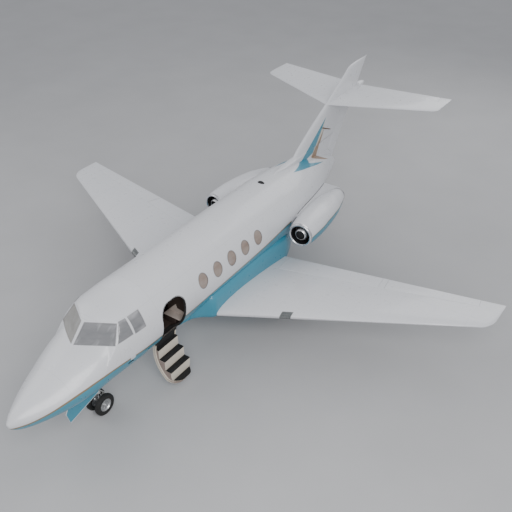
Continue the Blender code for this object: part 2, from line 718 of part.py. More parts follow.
def control_surface(surface, spec, side, name, look):
    start, end, share, gap = spec
    first, last, along, aft, up = control_frame(surface, spec, side)
    rings = []
    coves = []
    for point, w, push in ((first, start, -SLIP), (last, end, SLIP)):
        radius = surface.half_at(w, share)
        tail = chord_behind(surface, spec, side, point, along)
        ring = [point + tail + up * TRAILING / 2]
        for i in range(9):
            turn = math.radians(90 + 22.5 * i)
            ring.append(point + aft * math.cos(turn) * radius + up * math.sin(turn) * radius)
        ring.append(point + tail - up * TRAILING / 2)
        rings.append(ring)

        wide = radius + gap
        lip = math.degrees(math.acos(COVE_LIP * radius / wide))
        centre = point + along * push
        reach = aft * (tail.length + 0.15)
        lift = up * (radius + 0.15)
        mouth = aft * math.cos(math.radians(90 + lip)) * wide
        cove = [centre + reach + lift, centre + mouth + lift]
        for i in range(9):
            turn = math.radians(lerp(90 + lip, 270 - lip, i / 8))
            cove.append(centre + aft * math.cos(turn) * wide + up * math.sin(turn) * wide)
        cove += [centre + mouth - lift, centre + reach - lift]
        coves.append(cove)
    piece = loft(rings, name, look)
    ends = ((first, -1), (last, 1))
    bores = []
    for index, (point, way) in enumerate(ends):
        pin = rod(point - along * way * 0.05, point + along * way * PIN_REACH, PIN_RADIUS,
                  f"{name}_pin_{index}")
        join(piece, pin)
        bores.append(rod(point, point + along * way * (PIN_REACH + 0.004), bore(PIN_RADIUS, PIN_SIDES),
                         f"{name}_bore_{index}"))
    pivot(piece, (first + last) / 2)
    return [loft(coves, f"{name}_cove"), *bores]


def build_wings():
    surface = Surface(WING_LE, WING_TE, WING_Z, WING_TE_DROP, WING_THICKNESS, WING_STATIONS)
    for side, name in ((1, "port"), (-1, "starboard")):
        rings = [surface.ring(w + (GAP if w == WING_ROOT else 0), side, nose, thin)
                 for w, nose, thin in WING_STATIONS]
        wing = loft(rings, f"wing_{name}", WHITE)
        cut(wing, *control_surface(surface, FLAP, side, f"flap_{name}", WHITE))
        cut(wing, *control_surface(surface, AILERON, side, f"aileron_{name}", WHITE))
        pad_x, pad_s, pad_r = JACK_PAD
        pad_z = WING_Z[0] + WING_Z[1] * pad_x
        join(wing, rod(at(pad_x * side, pad_s, pad_z - 0.24), at(pad_x * side, pad_s, pad_z),
                       pad_r, f"jack_pad_{name}"))
        leg_top = at(MAIN_X * side, MAIN_AXLE[0], MAIN_AXLE[1])
        cut(wing, rod(leg_top, leg_top + Vector((0, 0, 0.86)), LEG_RADIUS + GAP,
                      f"leg_socket_{name}", sides=24))

    rings = []
    for s, half, top, bottom in FAIRING:
        outline = [(half * across, lerp(top, bottom, down)) for across, down in FAIRING_SHAPE]
        ring = [at(x, s, z) for x, z in outline]
        ring += [at(-x, s, z) for x, z in reversed(outline[:-1])]
        rings.append(ring)
    fairing = loft(rings, "wing_fairing", TEAL)
    cut(fairing, hull(3.9, TAIL_SPLIT, -GAP, "fairing_seat_fore"),
        hull(TAIL_SPLIT - 0.02, 11.0, -GAP, "fairing_seat_aft"))


def fin_ring(row):
    z, fore, aft, half = row
    return [at(y * (aft - fore), lerp(fore, aft, x), z) for x, y in airfoil(half / (aft - fore))]


def build_tail():
    surface = Surface(TAIL_LE, TAIL_TE, (TAIL_Z, 0.0), 0.0, TAIL_THICKNESS, TAIL_STATIONS)
    mirrored = [(-w, nose, thin) for w, nose, thin in reversed(TAIL_STATIONS[1:])]
    rings = [surface.ring(abs(w), math.copysign(1, w), nose, thin)
             for w, nose, thin in mirrored + TAIL_STATIONS]
    plane = loft(rings, "tailplane", WHITE)
    for side, name in ((1, "port"), (-1, "starboard")):
        cut(plane, *control_surface(surface, ELEVATOR, side, f"elevator_{name}", WHITE))
    seat_rings = [surface.ring(TAIL_STATIONS[1][0], side, 0, 1.0, GAP * 2) for side in (-1, 1)]
    seat_rings.insert(1, surface.ring(0.0, 1, 0, 1.0, GAP * 2))
    seat = loft(seat_rings, "tailplane_seat")

    fin = loft([fin_ring(row) for row in FIN_SECTIONS], "fin", WHITE)
    cut(fin, hull(9.0, SECTIONS[-1][0], -GAP, "fin_seat"), seat)
    for side in (1, -1):
        join(fin, rod(at(0, AERIAL_S - 0.10, AERIAL_Z), at(AERIAL_REACH * side, AERIAL_S, AERIAL_Z),
                      0.012, f"aerial_{side}", sides=8))
    cap = loft([fin_ring(row) for row in FIN_CAP_SECTIONS], "fin_cap", WHITE)
    cut(cap, seat)

    hinge = []
    for z, chord in zip(RUDDER, RUDDER_CHORD):
        trailing = 12.9254 + 0.7144 * z
        hinge.append(at(0, trailing - chord, z))
    along = (hinge[1] - hinge[0]).normalized()
    aft = Vector((0, along.z, -along.y))
    side_way = Vector((1, 0, 0))
    edge = Vector((0, 0.7144, 1)).normalized()
    rings = []
    coves = []
    for point, radius, push in ((hinge[0], RUDDER_HALF[0], -SLIP), (hinge[1], RUDDER_HALF[1], SLIP)):
        base = at(0, 12.9254, 0)
        share = (point - base).dot(along) / edge.dot(along)
        tail = base + edge * share - point
        ring = [point + tail + side_way * TRAILING / 2]
        cove = []
        wide = radius + 0.007
        lip = math.degrees(math.acos(COVE_LIP * radius / wide))
        centre = point + along * push
        reach = aft * (tail.length + 0.2)
        mouth = aft * math.cos(math.radians(90 + lip)) * wide
        lift = side_way * (radius + 0.15)
        cove = [centre + reach + lift, centre + mouth + lift]
        for i in range(9):
            turn = math.radians(90 + 22.5 * i)
            ring.append(point + aft * math.cos(turn) * radius + side_way * math.sin(turn) * radius)
            turn = math.radians(lerp(90 + lip, 270 - lip, i / 8))
            cove.append(centre + aft * math.cos(turn) * wide + side_way * math.sin(turn) * wide)
        ring.append(point + tail - side_way * TRAILING / 2)
        cove += [centre + mouth - lift, centre + reach - lift]
        rings.append(ring)
        coves.append(cove)
    rudder = loft(rings, "rudder", WHITE)
    pivot(rudder, (hinge[0] + hinge[1]) / 2)
    cut(fin, loft(coves, "rudder_cove"))
    for index, (point, way) in enumerate(((hinge[0], -1), (hinge[1], 1))):
        join(rudder, rod(point - along * way * 0.05, point + along * way * PIN_REACH, PIN_RADIUS,
                         f"rudder_pin_{index}"))
        cut(fin, rod(point, point + along * way * (PIN_REACH + 0.004), bore(PIN_RADIUS, PIN_SIDES),
                     f"rudder_bore_{index}"))

    length = BULLET_AFT - BULLET_FORE
    profile = [(0, 0)]
    for i in range(9):
        share = i / 8
        profile.append((length * share, BULLET_RADIUS * math.sqrt(max(0.0, 1 - share ** 2))))
    profile[-1] = (length, 0)
    bullet = turned(profile, at(0, BULLET_FORE, TAIL_Z), Vector((0, 1, 0)), "tail_bullet", WHITE, 14)
    cut(bullet, seat)


def build_engines():
    for side, name in ((1, "port"), (-1, "starboard")):
        x = ENGINE_X * side
        aft = Vector((-ENGINE_TOE * side, 1, 0)).normalized()
        origin = at(x, ENGINE_FORE, ENGINE_Z) - aft * ENGINE_FORE
        profile = [(s, outer) for s, outer, _ in NACELLE]
        profile += [(s, inner) for s, _, inner in reversed(NACELLE[1:]) if inner]
        nacelle = turned(profile, origin, aft, f"nacelle_{name}", WHITE, NACELLE_SIDES)
        nacelle_seat = turned([(9.0, 0)] + [(s, outer + GAP * 2) for s, outer, _ in NACELLE] + [(11.7, 0)],
                              origin, aft, f"nacelle_seat_{name}", None, NACELLE_SIDES)

        ring_fore, ring_aft, ring_radius = CORE_RING
        core = turned([(CORE_FORE, 0), (CORE_FORE, CORE_RADIUS), (ring_fore, CORE_RADIUS),
                       (ring_fore, ring_radius), (ring_aft, ring_radius), (ring_aft, CORE_RADIUS),
                       (10.9, CORE_RADIUS), (CORE_AFT, 0.10), (CORE_AFT, 0)],
                      origin, aft, f"engine_core_{name}", DARK, NACELLE_SIDES)
        cut(core, rod(origin + aft * (CORE_FORE - 0.02), origin + aft * (CORE_FORE + 0.10),
                      bore(SHAFT_RADIUS, 24), f"shaft_bore_{name}", sides=24))
        turned([(9.03, 0), (9.03, 0.10), (9.16, SPINNER_RADIUS), (9.36, SPINNER_RADIUS),
                (9.36, FAN_RADIUS), (9.42, FAN_RADIUS), (9.42, SHAFT_RADIUS),
                (CORE_FORE + 0.09, SHAFT_RADIUS), (CORE_FORE + 0.09, 0)],
               origin, aft, f"fan_{name}", SILVER, 24)

        start, end, half, z = PYLON
        shape = airfoil(half / (end - start))
        rings = []
        for reach in (0.55, 1.30):
            rings.append([at(reach * side, lerp(start, end, u), z + v * (end - start))
                          for u, v in shape])
        pylon = loft(rings, f"pylon_{name}", WHITE)
        cut(pylon, hull(9.4, 13.0, -GAP, f"pylon_seat_{name}"), nacelle_seat)


def tyre(name, centre, axis, radius, width, rim):
    """Tyre with a flat tread and rounded shoulders; its bore is the rim's radius."""
    half = width / 2
    belly = lerp(rim, radius, 0.55)
    profile = [(-half * 0.80, rim), (-half, belly), (-half * 0.50, radius),
               (half * 0.50, radius), (half, belly), (half * 0.80, rim)]
    turned(profile, centre, axis, name, RUBBER)


def wheel_pair(name, centre, axis, track, width, rim):
    """Two hubs on one live axle, which turns in the leg's bore."""
    half = width * 0.40
    profile = []
    for sign in (-1, 1):
        middle = sign * track
        outer, inner = middle + sign * half, middle - sign * half
        web = middle + sign * half * 0.30
        side = [(web, 0), (web, rim - 0.030), (outer, rim - 0.015), (outer, rim - GAP),
                (inner, rim - GAP), (inner, AXLE_RADIUS)]
        profile += side if sign < 0 else list(reversed(side))
    turned(profile, centre, axis, name, SILVER, WHEEL_SIDES)


def build_gear():
    across = Vector((1, 0, 0))
    axle = at(0, *NOSE_AXLE)
    wheel_pair("nose_wheel_hubs", axle, across, NOSE_TRACK, NOSE_TYRE[1], NOSE_RIM)
    for side, name in ((1, "port"), (-1, "starboard")):
        tyre(f"nose_tyre_{name}", axle + across * NOSE_TRACK * side, across, NOSE_TYRE[0],
             NOSE_TYRE[1], NOSE_RIM)

    top = at(0, NOSE_AXLE[0], COCKPIT_FLOOR_Z - FLOOR_THICK - GAP)
    collar = at(0, NOSE_AXLE[0], -0.92)
    leg = rod(collar, top, LEG_RADIUS, "nose_leg", STRUT, 24)
    brace_low = at(0, NOSE_AXLE[0] - 0.02, -0.80)
    brace_high = at(0, NOSE_BAY[0] + 0.20, COCKPIT_FLOOR_Z - FLOOR_THICK - 0.03)
    join(leg, rod(brace_low, brace_high, 0.022, "nose_brace", sides=12))
    join(leg, box((-0.16, NOSE_BAY[0] + 0.17, COCKPIT_FLOOR_Z - FLOOR_THICK - 0.06),
                  (0.16, NOSE_BAY[0] + 0.23, COCKPIT_FLOOR_Z - FLOOR_THICK - GAP), "brace_foot"))
    cut(leg, rod(collar - Vector((0, 0, 0.02)), collar + Vector((0, 0, 0.30)), bore(SLIDE_RADIUS, 24),
                 "nose_slide_bore", sides=24))

    slide = rod(axle + Vector((0, 0, -0.045)), collar + Vector((0, 0, 0.28)), SLIDE_RADIUS,
                "nose_slide", STRUT, 24)
    pivot(slide, axle)
    join(slide, rod(axle - across * 0.055, axle + across * 0.055, 0.045, "nose_axle_boss", sides=24))
    join(slide, box((-0.030, NOSE_AXLE[0] - 0.11, NOSE_AXLE[1] - 0.03),
                    (0.030, NOSE_AXLE[0], NOSE_AXLE[1] + 0.03), "tow_lug"))
    cut(slide, rod(axle - across * 0.10, axle + across * 0.10, bore(AXLE_RADIUS, WHEEL_SIDES),
                   "nose_axle_bore", sides=WHEEL_SIDES))

    for side, name in ((1, "port"), (-1, "starboard")):
        x = NOSE_DOOR_X * side
        rim = [at(x - NOSE_DOOR_THICK / 2, s, z) for s, z in NOSE_DOOR]
        door = prism(rim, Vector((NOSE_DOOR_THICK, 0, 0)), f"nose_door_{name}", TEAL)
        cut(door, hull(NOSE_SPLIT + 0.01, 3.2, -GAP, f"nose_door_seat_{name}"))

        centre = at(MAIN_X * side, *MAIN_AXLE)
        wheel_pair(f"main_wheel_hubs_{name}", centre, across, MAIN_TRACK, MAIN_TYRE[1], MAIN_RIM)
        for place_side, place_name in ((1, "outer"), (-1, "inner")):
            tyre(f"main_tyre_{name}_{place_name}", centre + across * MAIN_TRACK * place_side * side,
                 across, MAIN_TYRE[0], MAIN_TYRE[1], MAIN_RIM)
        up = Vector((0, 0, 1))
        leg = rod(centre - up * 0.05, centre + up * 0.855, LEG_RADIUS, f"main_leg_{name}", STRUT, 24)
        cut(leg, rod(centre - across * 0.10, centre + across * 0.10, bore(AXLE_RADIUS, WHEEL_SIDES),
                     f"main_axle_bore_{name}", sides=WHEEL_SIDES))
        plate_x = (MAIN_X + LEG_RADIUS + GAP) * side
        rim = [at(plate_x, s, z) for s, z in ((7.90, -0.70), (8.30, -0.70), (8.26, -1.02), (7.94, -1.02))]
        prism(rim, Vector((0.016 * side, 0, 0)), f"main_door_{name}", TEAL)


clear_scene()
build_fuselage()
build_glass()
build_airstair()
build_interior()
build_wings()
build_tail()
build_engines()
build_gear()
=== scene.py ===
import math

import bmesh
import bpy
from mathutils import Matrix, Vector
from mathutils.bvhtree import BVHTree
from mathutils.interpolate import poly_3d_calc


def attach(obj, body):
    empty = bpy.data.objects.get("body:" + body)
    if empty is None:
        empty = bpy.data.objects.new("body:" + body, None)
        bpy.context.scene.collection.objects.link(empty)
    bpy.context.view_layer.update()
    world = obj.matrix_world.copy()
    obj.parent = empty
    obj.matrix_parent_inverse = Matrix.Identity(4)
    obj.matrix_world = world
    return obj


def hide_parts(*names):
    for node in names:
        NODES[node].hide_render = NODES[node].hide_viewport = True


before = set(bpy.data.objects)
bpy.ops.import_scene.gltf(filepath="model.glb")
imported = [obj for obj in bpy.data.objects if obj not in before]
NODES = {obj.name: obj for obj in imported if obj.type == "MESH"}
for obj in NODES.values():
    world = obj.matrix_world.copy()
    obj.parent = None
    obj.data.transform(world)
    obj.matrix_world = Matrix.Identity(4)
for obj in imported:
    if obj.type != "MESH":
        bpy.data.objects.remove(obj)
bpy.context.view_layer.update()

NOSE_Y = -7.725
NOSE_HEIGHT = 1.62
WALL = 0.060
EDGE_BLUR = 0.002
SIDES = ((1, "port"), (-1, "starboard"))
ACROSS, AFT, UP = Vector((1, 0, 0)), Vector((0, 1, 0)), Vector((0, 0, 1))


def at(x, s, z):
    """Point from x to port, s aft of the nose tip and z above it."""
    return Vector((x, s + NOSE_Y, z + NOSE_HEIGHT))


def lerp(a, b, t):
    """Value at share t of the way from a to b."""
    return a + (b - a) * t


class Track:
    """Smooth monotone curve through (place, value) pairs."""

    def __init__(self, pairs):
        self.u = [float(u) for u, _ in pairs]
        self.v = [float(v) for _, v in pairs]
        steps = [(b - a) / (q - p) for a, b, p, q in zip(self.v, self.v[1:], self.u, self.u[1:])]
        inner = [2 * a * b / (a + b) if a * b > 0 else 0.0 for a, b in zip(steps, steps[1:])]
        self.slope = [steps[0]] + inner + [steps[-1]]

    def __call__(self, u):
        if u <= self.u[0]:
            return self.v[0]
        if u >= self.u[-1]:
            return self.v[-1]
        i = next(k for k in range(len(self.u) - 1) if u <= self.u[k + 1])
        h = self.u[i + 1] - self.u[i]
        t = (u - self.u[i]) / h
        a, b = self.slope[i] * h, self.slope[i + 1] * h
        return (self.v[i] * (1 + 2 * t) * (1 - t) ** 2 + a * t * (1 - t) ** 2
                + self.v[i + 1] * t * t * (3 - 2 * t) + b * t * t * (t - 1))


# Materials

class Look:
    """A procedural material being put together; helpers return node sockets."""

    def __init__(self, name, color=(0.5, 0.5, 0.5), roughness=0.4, metallic=0.0, coat=0.0):
        self.material = bpy.data.materials.new(name)
        self.material.use_nodes = True
        self.tree = self.material.node_tree
        self.shader = self.tree.nodes["Principled BSDF"]
        self.shader.inputs["Base Color"].default_value = (*color, 1)
        self.shader.inputs["Roughness"].default_value = roughness
        self.shader.inputs["Metallic"].default_value = metallic
        if coat:
            self.shader.inputs["Coat Weight"].default_value = coat
            self.shader.inputs["Coat Roughness"].default_value = 0.08
        self.place = self.tree.nodes.new("ShaderNodeTexCoord").outputs["Object"]
        parts = self.node("ShaderNodeSeparateXYZ", self.place).outputs
        self.x, self.y, self.z = parts[0], parts[1], parts[2]

    def station(self):
        """Distance aft of the nose tip and height above it."""
        return self.math("SUBTRACT", self.y, NOSE_Y), self.math("SUBTRACT", self.z, NOSE_HEIGHT)

    def node(self, kind, *inputs, **settings):
        made = self.tree.nodes.new(kind)
        for key, value in settings.items():
            setattr(made, key, value)
        for socket, value in zip(made.inputs, inputs):
            self.give(socket, value)
        return made

    def give(self, socket, value):
        if value is None:
            return
        if isinstance(value, bpy.types.NodeSocket):
            self.tree.links.new(value, socket)
        elif isinstance(value, tuple) and len(value) == 3 and socket.type == "RGBA":
            socket.default_value = (*value, 1)
        else:
            socket.default_value = value

    def math(self, operation, a, b=0.0, c=0.0):
        """Result of one arithmetic node."""
        return self.node("ShaderNodeMath", a, b, c, operation=operation).outputs[0]

    def mix(self, share, a, b):
        """Color a where share is 0, b where it is 1."""
        made = self.tree.nodes.new("ShaderNodeMix")
        made.data_type = "RGBA"
        self.give(made.inputs[0], share)
        self.give(made.inputs[6], a)
        self.give(made.inputs[7], b)
        return made.outputs[2]

    def noise(self, scale, detail=3.0, stretch=None, rough=0.5):
        """Soft noise from 0 to 1 in object space."""
        place = self.place
        if stretch:
            place = self.node("ShaderNodeMapping", place, None, None, stretch).outputs[0]
        made = self.tree.nodes.new("ShaderNodeTexNoise")
        self.give(made.inputs["Vector"], place)
        made.inputs["Scale"].default_value = scale
        made.inputs["Detail"].default_value = detail
        made.inputs["Roughness"].default_value = rough
        return made.outputs["Fac"]

    def span(self, value, low, high, to_low=0.0, to_high=1.0):
        """Value moved from one range to another and held inside it."""
        return self.node("ShaderNodeMapRange", value, low, high, to_low, to_high).outputs[0]

    def bump(self, height, distance, strength=1.0):
        """Adds a relief on top of those that the material has."""
        made = self.tree.nodes.new("ShaderNodeBump")
        self.give(made.inputs["Height"], height)
        made.inputs["Distance"].default_value = distance
        made.inputs["Strength"].default_value = strength
        if self.shader.inputs["Normal"].is_linked:
            self.give(made.inputs["Normal"], self.shader.inputs["Normal"].links[0].from_socket)
        self.tree.links.new(made.outputs[0], self.shader.inputs["Normal"])

    def color(self, value):
        self.give(self.shader.inputs["Base Color"], value)

    def rough(self, value):
        self.give(self.shader.inputs["Roughness"], value)

    def below(self, value, limit, soft=0.002):
        """1 where value is under limit."""
        return self.span(self.math("SUBTRACT", limit, value), -soft, soft)

    def curve(self, value, low, high, out_low, out_high, points):
        """Piecewise smooth function of value, through (value, result) points."""
        share = self.span(value, low, high)
        made = self.tree.nodes.new("ShaderNodeFloatCurve")
        line = made.mapping.curves[0]
        spots = [((u - low) / (high - low), (v - out_low) / (out_high - out_low)) for u, v in points]
        line.points[0].location = spots[0]
        line.points[-1].location = spots[-1]
        for spot in spots[1:-1]:
            line.points.new(*spot)
        made.mapping.update()
        made.inputs["Factor"].default_value = 1.0
        self.give(made.inputs["Value"], share)
        return self.span(made.outputs[0], 0.0, 1.0, out_low, out_high)

    def triangle(self, s, z, corners):
        """1 inside a triangle of (s, z) corners."""
        inside = None
        centre = [sum(c[k] for c in corners) / 3 for k in (0, 1)]
        for (s0, z0), (s1, z1) in zip(corners, corners[1:] + corners[:1]):
            a, b = z0 - z1, s1 - s0
            scale = math.hypot(a, b)
            a, b = a / scale, b / scale
            c = -(a * s0 + b * z0)
            if a * centre[0] + b * centre[1] + c < 0:
                a, b, c = -a, -b, -c
            side = self.math("MULTIPLY_ADD", s, a, self.math("MULTIPLY_ADD", z, b, c))
            inside = side if inside is None else self.math("MINIMUM", inside, side)
        return self.span(inside, -EDGE_BLUR, EDGE_BLUR)


WHITE = (0.675, 0.68, 0.70)
TEAL = (0.036, 0.245, 0.350)
GOLD = (0.22, 0.145, 0.06)
FIN_BRONZE = (0.30, 0.19, 0.11)
CREAM = (0.66, 0.60, 0.50)
BEIGE = (0.31, 0.245, 0.215)


def seam(look, value, pitch, offset, width=0.0022):
    """1 along evenly spaced panel joints; the large whole number keeps every place positive."""
    place = look.math("FRACT", look.math("MULTIPLY_ADD", value, 1 / pitch, offset / pitch + 100.5))
    share = width / pitch
    return look.below(look.math("ABSOLUTE", look.math("SUBTRACT", place, 0.5)), share, share * 0.6)


def gloss_paint(look, color, seams):
    """Enamel with faint smudges and clouding, thin panel joints and a slightly uneven gloss."""
    cloud = look.noise(0.9, 4.0, (1.0, 0.35, 1.0))
    smudge = look.span(look.noise(2.2, 5.0, (1.0, 0.5, 1.0), 0.6), 0.62, 0.80, 0.0, 0.12)
    tone = look.span(cloud, 0.3, 0.7, 0.0, 0.10)
    color = look.mix(tone, color, look.mix(0.5, color, (0.50, 0.53, 0.58)))
    color = look.mix(smudge, color, (0.34, 0.35, 0.38))
    joint = None
    for mask in seams:
        joint = mask if joint is None else look.math("MAXIMUM", joint, mask)
    if joint is not None:
        color = look.mix(look.math("MULTIPLY", joint, 0.22), color, (0.12, 0.12, 0.12))
        look.bump(look.math("SUBTRACT", 1.0, joint), 0.0008, 0.7)
    look.bump(look.noise(160.0, 2.0), 0.0001, 0.25)
    look.color(color)
    look.rough(look.span(look.noise(7.0, 3.0), 0.3, 0.7, 0.26, 0.38))


def livery_bands(look, height, line, width=0.022):
    """White above a gold line, teal below it."""
    gap = look.math("SUBTRACT", height, line)
    color = look.mix(look.below(gap, 0.0), WHITE, TEAL)
    return look.mix(look.below(look.math("ABSOLUTE", gap), width), color, GOLD)


HULL_LINE = [(0.0, -0.09), (0.30, -0.06), (0.56, -0.005), (1.07, 0.125), (1.53, 0.215), (1.95, 0.262),
             (2.43, 0.256), (2.80, 0.252), (3.24, 0.224), (3.73, 0.205), (4.30, 0.21), (4.85, 0.222),
             (5.45, 0.25), (6.47, 0.305), (7.34, 0.35), (8.12, 0.402), (8.94, 0.495), (9.30, 0.53),
             (10.4, 0.56), (13.6, 0.55)]
LIVERY_END = 9.4
AFT_TEAL_TOP = 0.10
BELT_MIDDLE, BELT_REACH = 0.533, 0.68
# (s, z) corners of the painted flashes on the fin and the tail's flank
FIN_TEAL = [[(12.765, 2.312), (11.32, 1.382), (12.011, 1.376)],
            [(10.519, 1.412), (12.011, 1.378), (11.30, 1.272)],
            [(11.20, 1.290), (11.478, 1.305), (12.28, 1.05)]]
FIN_GOLD = [[(12.67, 1.97), (11.904, 1.258), (12.24, 1.20)],
            [(11.904, 1.258), (12.24, 1.20), (12.756, 0.918)]]
FIN_CREAM = [[(12.74, 2.27), (11.80, 1.34), (12.30, 1.36)]]


def hull_paint():
    """White over teal with the gold line, the flashes under the fin and long panel joints."""
    look = Look("hull_enamel", WHITE, 0.3, 0.0, 0.35)
    s, z = look.station()
    line = look.curve(s, 0.0, HULL_LINE[-1][0], -0.6, 1.0, HULL_LINE)
    color = livery_bands(look, z, line)
    aft = look.below(look.math("MULTIPLY", s, -1.0), -LIVERY_END, 0.02)
    color = look.mix(aft, color, look.mix(look.below(z, AFT_TEAL_TOP, 0.003), WHITE, TEAL))
    color = fin_stripes(look, s, z, color)
    reach = look.math("ABSOLUTE", look.math("SUBTRACT", z, BELT_MIDDLE))
    belt = look.below(look.math("ABSOLUTE", look.math("SUBTRACT", reach, BELT_REACH)), 0.0018, 0.001)
    gloss_paint(look, color, [seam(look, s, 1.26, 0.02), belt])
    return look.material


def fin_stripes(look, s, z, color):
    """Painted flashes over a color."""
    for triangles, tint in ((FIN_CREAM, CREAM), (FIN_TEAL, TEAL), (FIN_GOLD, FIN_BRONZE)):
        for corners in triangles:
            color = look.mix(look.triangle(s, z, corners), color, tint)
    return color


def tail_paint():
    """White with the flashes and panel joints of the fin."""
    look = Look("tail_enamel", WHITE, 0.3, 0.0, 0.35)
    s, z = look.station()
    gloss_paint(look, fin_stripes(look, s, z, WHITE), [seam(look, z, 0.62, 0.11), seam(look, s, 2.4, 0.3)])
    return look.material


def wing_paint():
    """White with a grid of panel joints."""
    look = Look("wing_enamel", WHITE, 0.3, 0.0, 0.3)
    s, _ = look.station()
    gloss_paint(look, WHITE, [seam(look, look.x, 0.86, 0.31), seam(look, s, 1.31, 0.4)])
    return look.material


def plain_paint(name, tint, seams=True):
    """Enamel in one tint."""
    look = Look(name, tint, 0.3, 0.0, 0.3)
    gloss_paint(look, tint, [seam(look, look.x, 0.93, 0.1)] if seams else [])
    return look.material


NACELLE_LINE = [(8.9, 0.36), (9.19, 0.445), (9.5, 0.468), (9.8, 0.477), (10.07, 0.497), (10.34, 0.492),
                (10.6, 0.483), (11.8, 0.43)]


def nacelle_paint():
    """White over teal, with a thin gold line between them."""
    look = Look("nacelle_enamel", WHITE, 0.3, 0.0, 0.35)
    s, z = look.station()
    line = look.curve(s, NACELLE_LINE[0][0], NACELLE_LINE[-1][0], 0.0, 1.0, NACELLE_LINE)
    color = livery_bands(look, z, line, 0.012)
    gloss_paint(look, color, [seam(look, s, 0.82, 0.36)])
    return look.material


def metal(name, tint, roughness, brushed=60.0):
    """Bare metal with a fine grain along it."""
    look = Look(name, tint, roughness, 1.0)
    grain = look.noise(brushed, 4.0, (1.0, 0.15, 1.0))
    look.color(look.mix(look.span(grain, 0.35, 0.65, 0.0, 0.35), tint, tuple(c * 0.62 for c in tint)))
    look.rough(look.span(grain, 0.3, 0.7, roughness - 0.07, roughness + 0.1))
    look.bump(grain, 0.0002, 0.3)
    return look.material


def leather(name, tint):
    """Leather with fine cells and soft wear."""
    look = Look(name, tint, 0.5)
    cells = look.node("ShaderNodeTexVoronoi", look.place)
    cells.inputs["Scale"].default_value = 220.0
    wear = look.noise(6.0, 4.0)
    look.color(look.mix(look.span(wear, 0.4, 0.75, 0.0, 0.35), tint, tuple(c * 0.72 for c in tint)))
    look.bump(cells.outputs[0], 0.0008, 0.35)
    look.bump(look.noise(28.0, 2.0), 0.002, 0.2)
    look.rough(look.span(wear, 0.3, 0.7, 0.42, 0.58))
    return look.material


def matte(name, tint, roughness=0.75, scale=90.0, depth=0.0006, vary=0.3):
    """Dull surface with a fine grain."""
    look = Look(name, tint, roughness)
    fine = look.noise(scale, 4.0)
    look.color(look.mix(look.span(fine, 0.3, 0.7, 0.0, vary), tint, tuple(c * 0.6 for c in tint)))
    look.bump(fine, depth, 0.5)
    look.rough(look.span(look.noise(scale * 0.2, 2.0), 0.3, 0.7, roughness - 0.08, roughness + 0.08))
    return look.material


def rubber_tyre(name, half_width, middle, track):
    """Tyre rubber for a pair of wheels, with grooves at even steps across each tread."""
    look = Look(name, (0.012, 0.012, 0.012), 0.7)
    place = look.math("SUBTRACT", look.math("ABSOLUTE", look.math("SUBTRACT", look.x, middle)), track)
    groove = seam(look, place, half_width * 0.42, half_width * 0.21, 0.006)
    dust = look.noise(14.0, 4.0)
    look.color(look.mix(look.span(dust, 0.45, 0.75, 0.0, 0.5), (0.010, 0.010, 0.010), (0.035, 0.033, 0.030)))
    look.bump(look.math("SUBTRACT", 1.0, groove), 0.004, 1.0)
    look.bump(look.noise(240.0, 2.0), 0.0004, 0.4)
    look.rough(look.span(dust, 0.3, 0.7, 0.55, 0.8))
    return look.material


def glazing(name, tint, body, clear, reflection_streaks):
    """Tinted pane: partly clear, partly a pale milky body, with faint pale streaks of painted reflection."""
    look = Look(name, tint, 0.06)
    look.shader.inputs["Coat Weight"].default_value = 0.6
    look.shader.inputs["Coat Roughness"].default_value = 0.03
    veil = look.noise(1.6, 3.0, (1.0, 1.0, 3.0), 0.6)
    # pale streaks mixed into the colour: painted reflections on the glass
    painted_reflection = look.span(look.noise(3.0, 2.0, (2.2, 0.5, 0.9)), 0.55, 0.72, 0.0, reflection_streaks)
    look.color(look.mix(painted_reflection, look.mix(look.span(veil, 0.3, 0.7), tint, body), (0.62, 0.62, 0.64)))
    look.give(look.shader.inputs["Alpha"], look.span(veil, 0.3, 0.7, 1.0 - clear, 1.0 - clear * 0.7))
    look.bump(veil, 0.002, 0.1)
    look.rough(look.span(look.noise(30.0, 2.0), 0.3, 0.7, 0.05, 0.11))
    return look.material


def lamp(name, tint):
    """Faceted lamp lens."""
    look = Look(name, tint, 0.1, 0.0, 0.6)
    facets = look.noise(40.0, 2.0)
    look.color(look.mix(facets, tint, tuple(c * 0.5 for c in tint)))
    look.bump(facets, 0.001, 0.3)
    return look.material


HULL = hull_paint()
TAIL = tail_paint()
WING = wing_paint()
NACELLE_PAINT = nacelle_paint()
WHITE_PAINT = plain_paint("white_enamel", WHITE)
TEAL_PAINT = plain_paint("teal_enamel", TEAL, False)
CREAM_PAINT = matte("cream_moulding", CREAM, 0.45, 40.0, 0.0004, 0.15)
BEIGE_PANEL = matte("beige_panel", BEIGE, 0.6, 70.0, 0.0005, 0.25)
# lighter copy of the beige panel: painted light on the locker top, which lies in shade
LOCKER_TOP_LIT = matte("locker_top", (0.50, 0.43, 0.385), 0.5, 50.0, 0.0004, 0.2)
LIP_METAL = metal("polished_lip", (0.72, 0.72, 0.74), 0.22)
STEEL = metal("satin_steel", (0.50, 0.50, 0.51), 0.34)
DARK_METAL = metal("dark_metal", (0.045, 0.045, 0.05), 0.45)
FAN_METAL = metal("fan_metal", (0.20, 0.20, 0.21), 0.35)
HUB_METAL = metal("hub_metal", (0.62, 0.62, 0.62), 0.32)
STRUT_PAINT = matte("strut_paint", (0.50, 0.50, 0.49), 0.4, 60.0, 0.0003, 0.2)
CHROME = metal("oleo_chrome", (0.75, 0.75, 0.77), 0.12, 20.0)
# black for painted shade inside the coves, the engine ducts, the spinner wells and the slots
SHADE_BLACK = matte("painted_shade_black", (0.008, 0.008, 0.009), 0.7, 30.0, 0.0006)
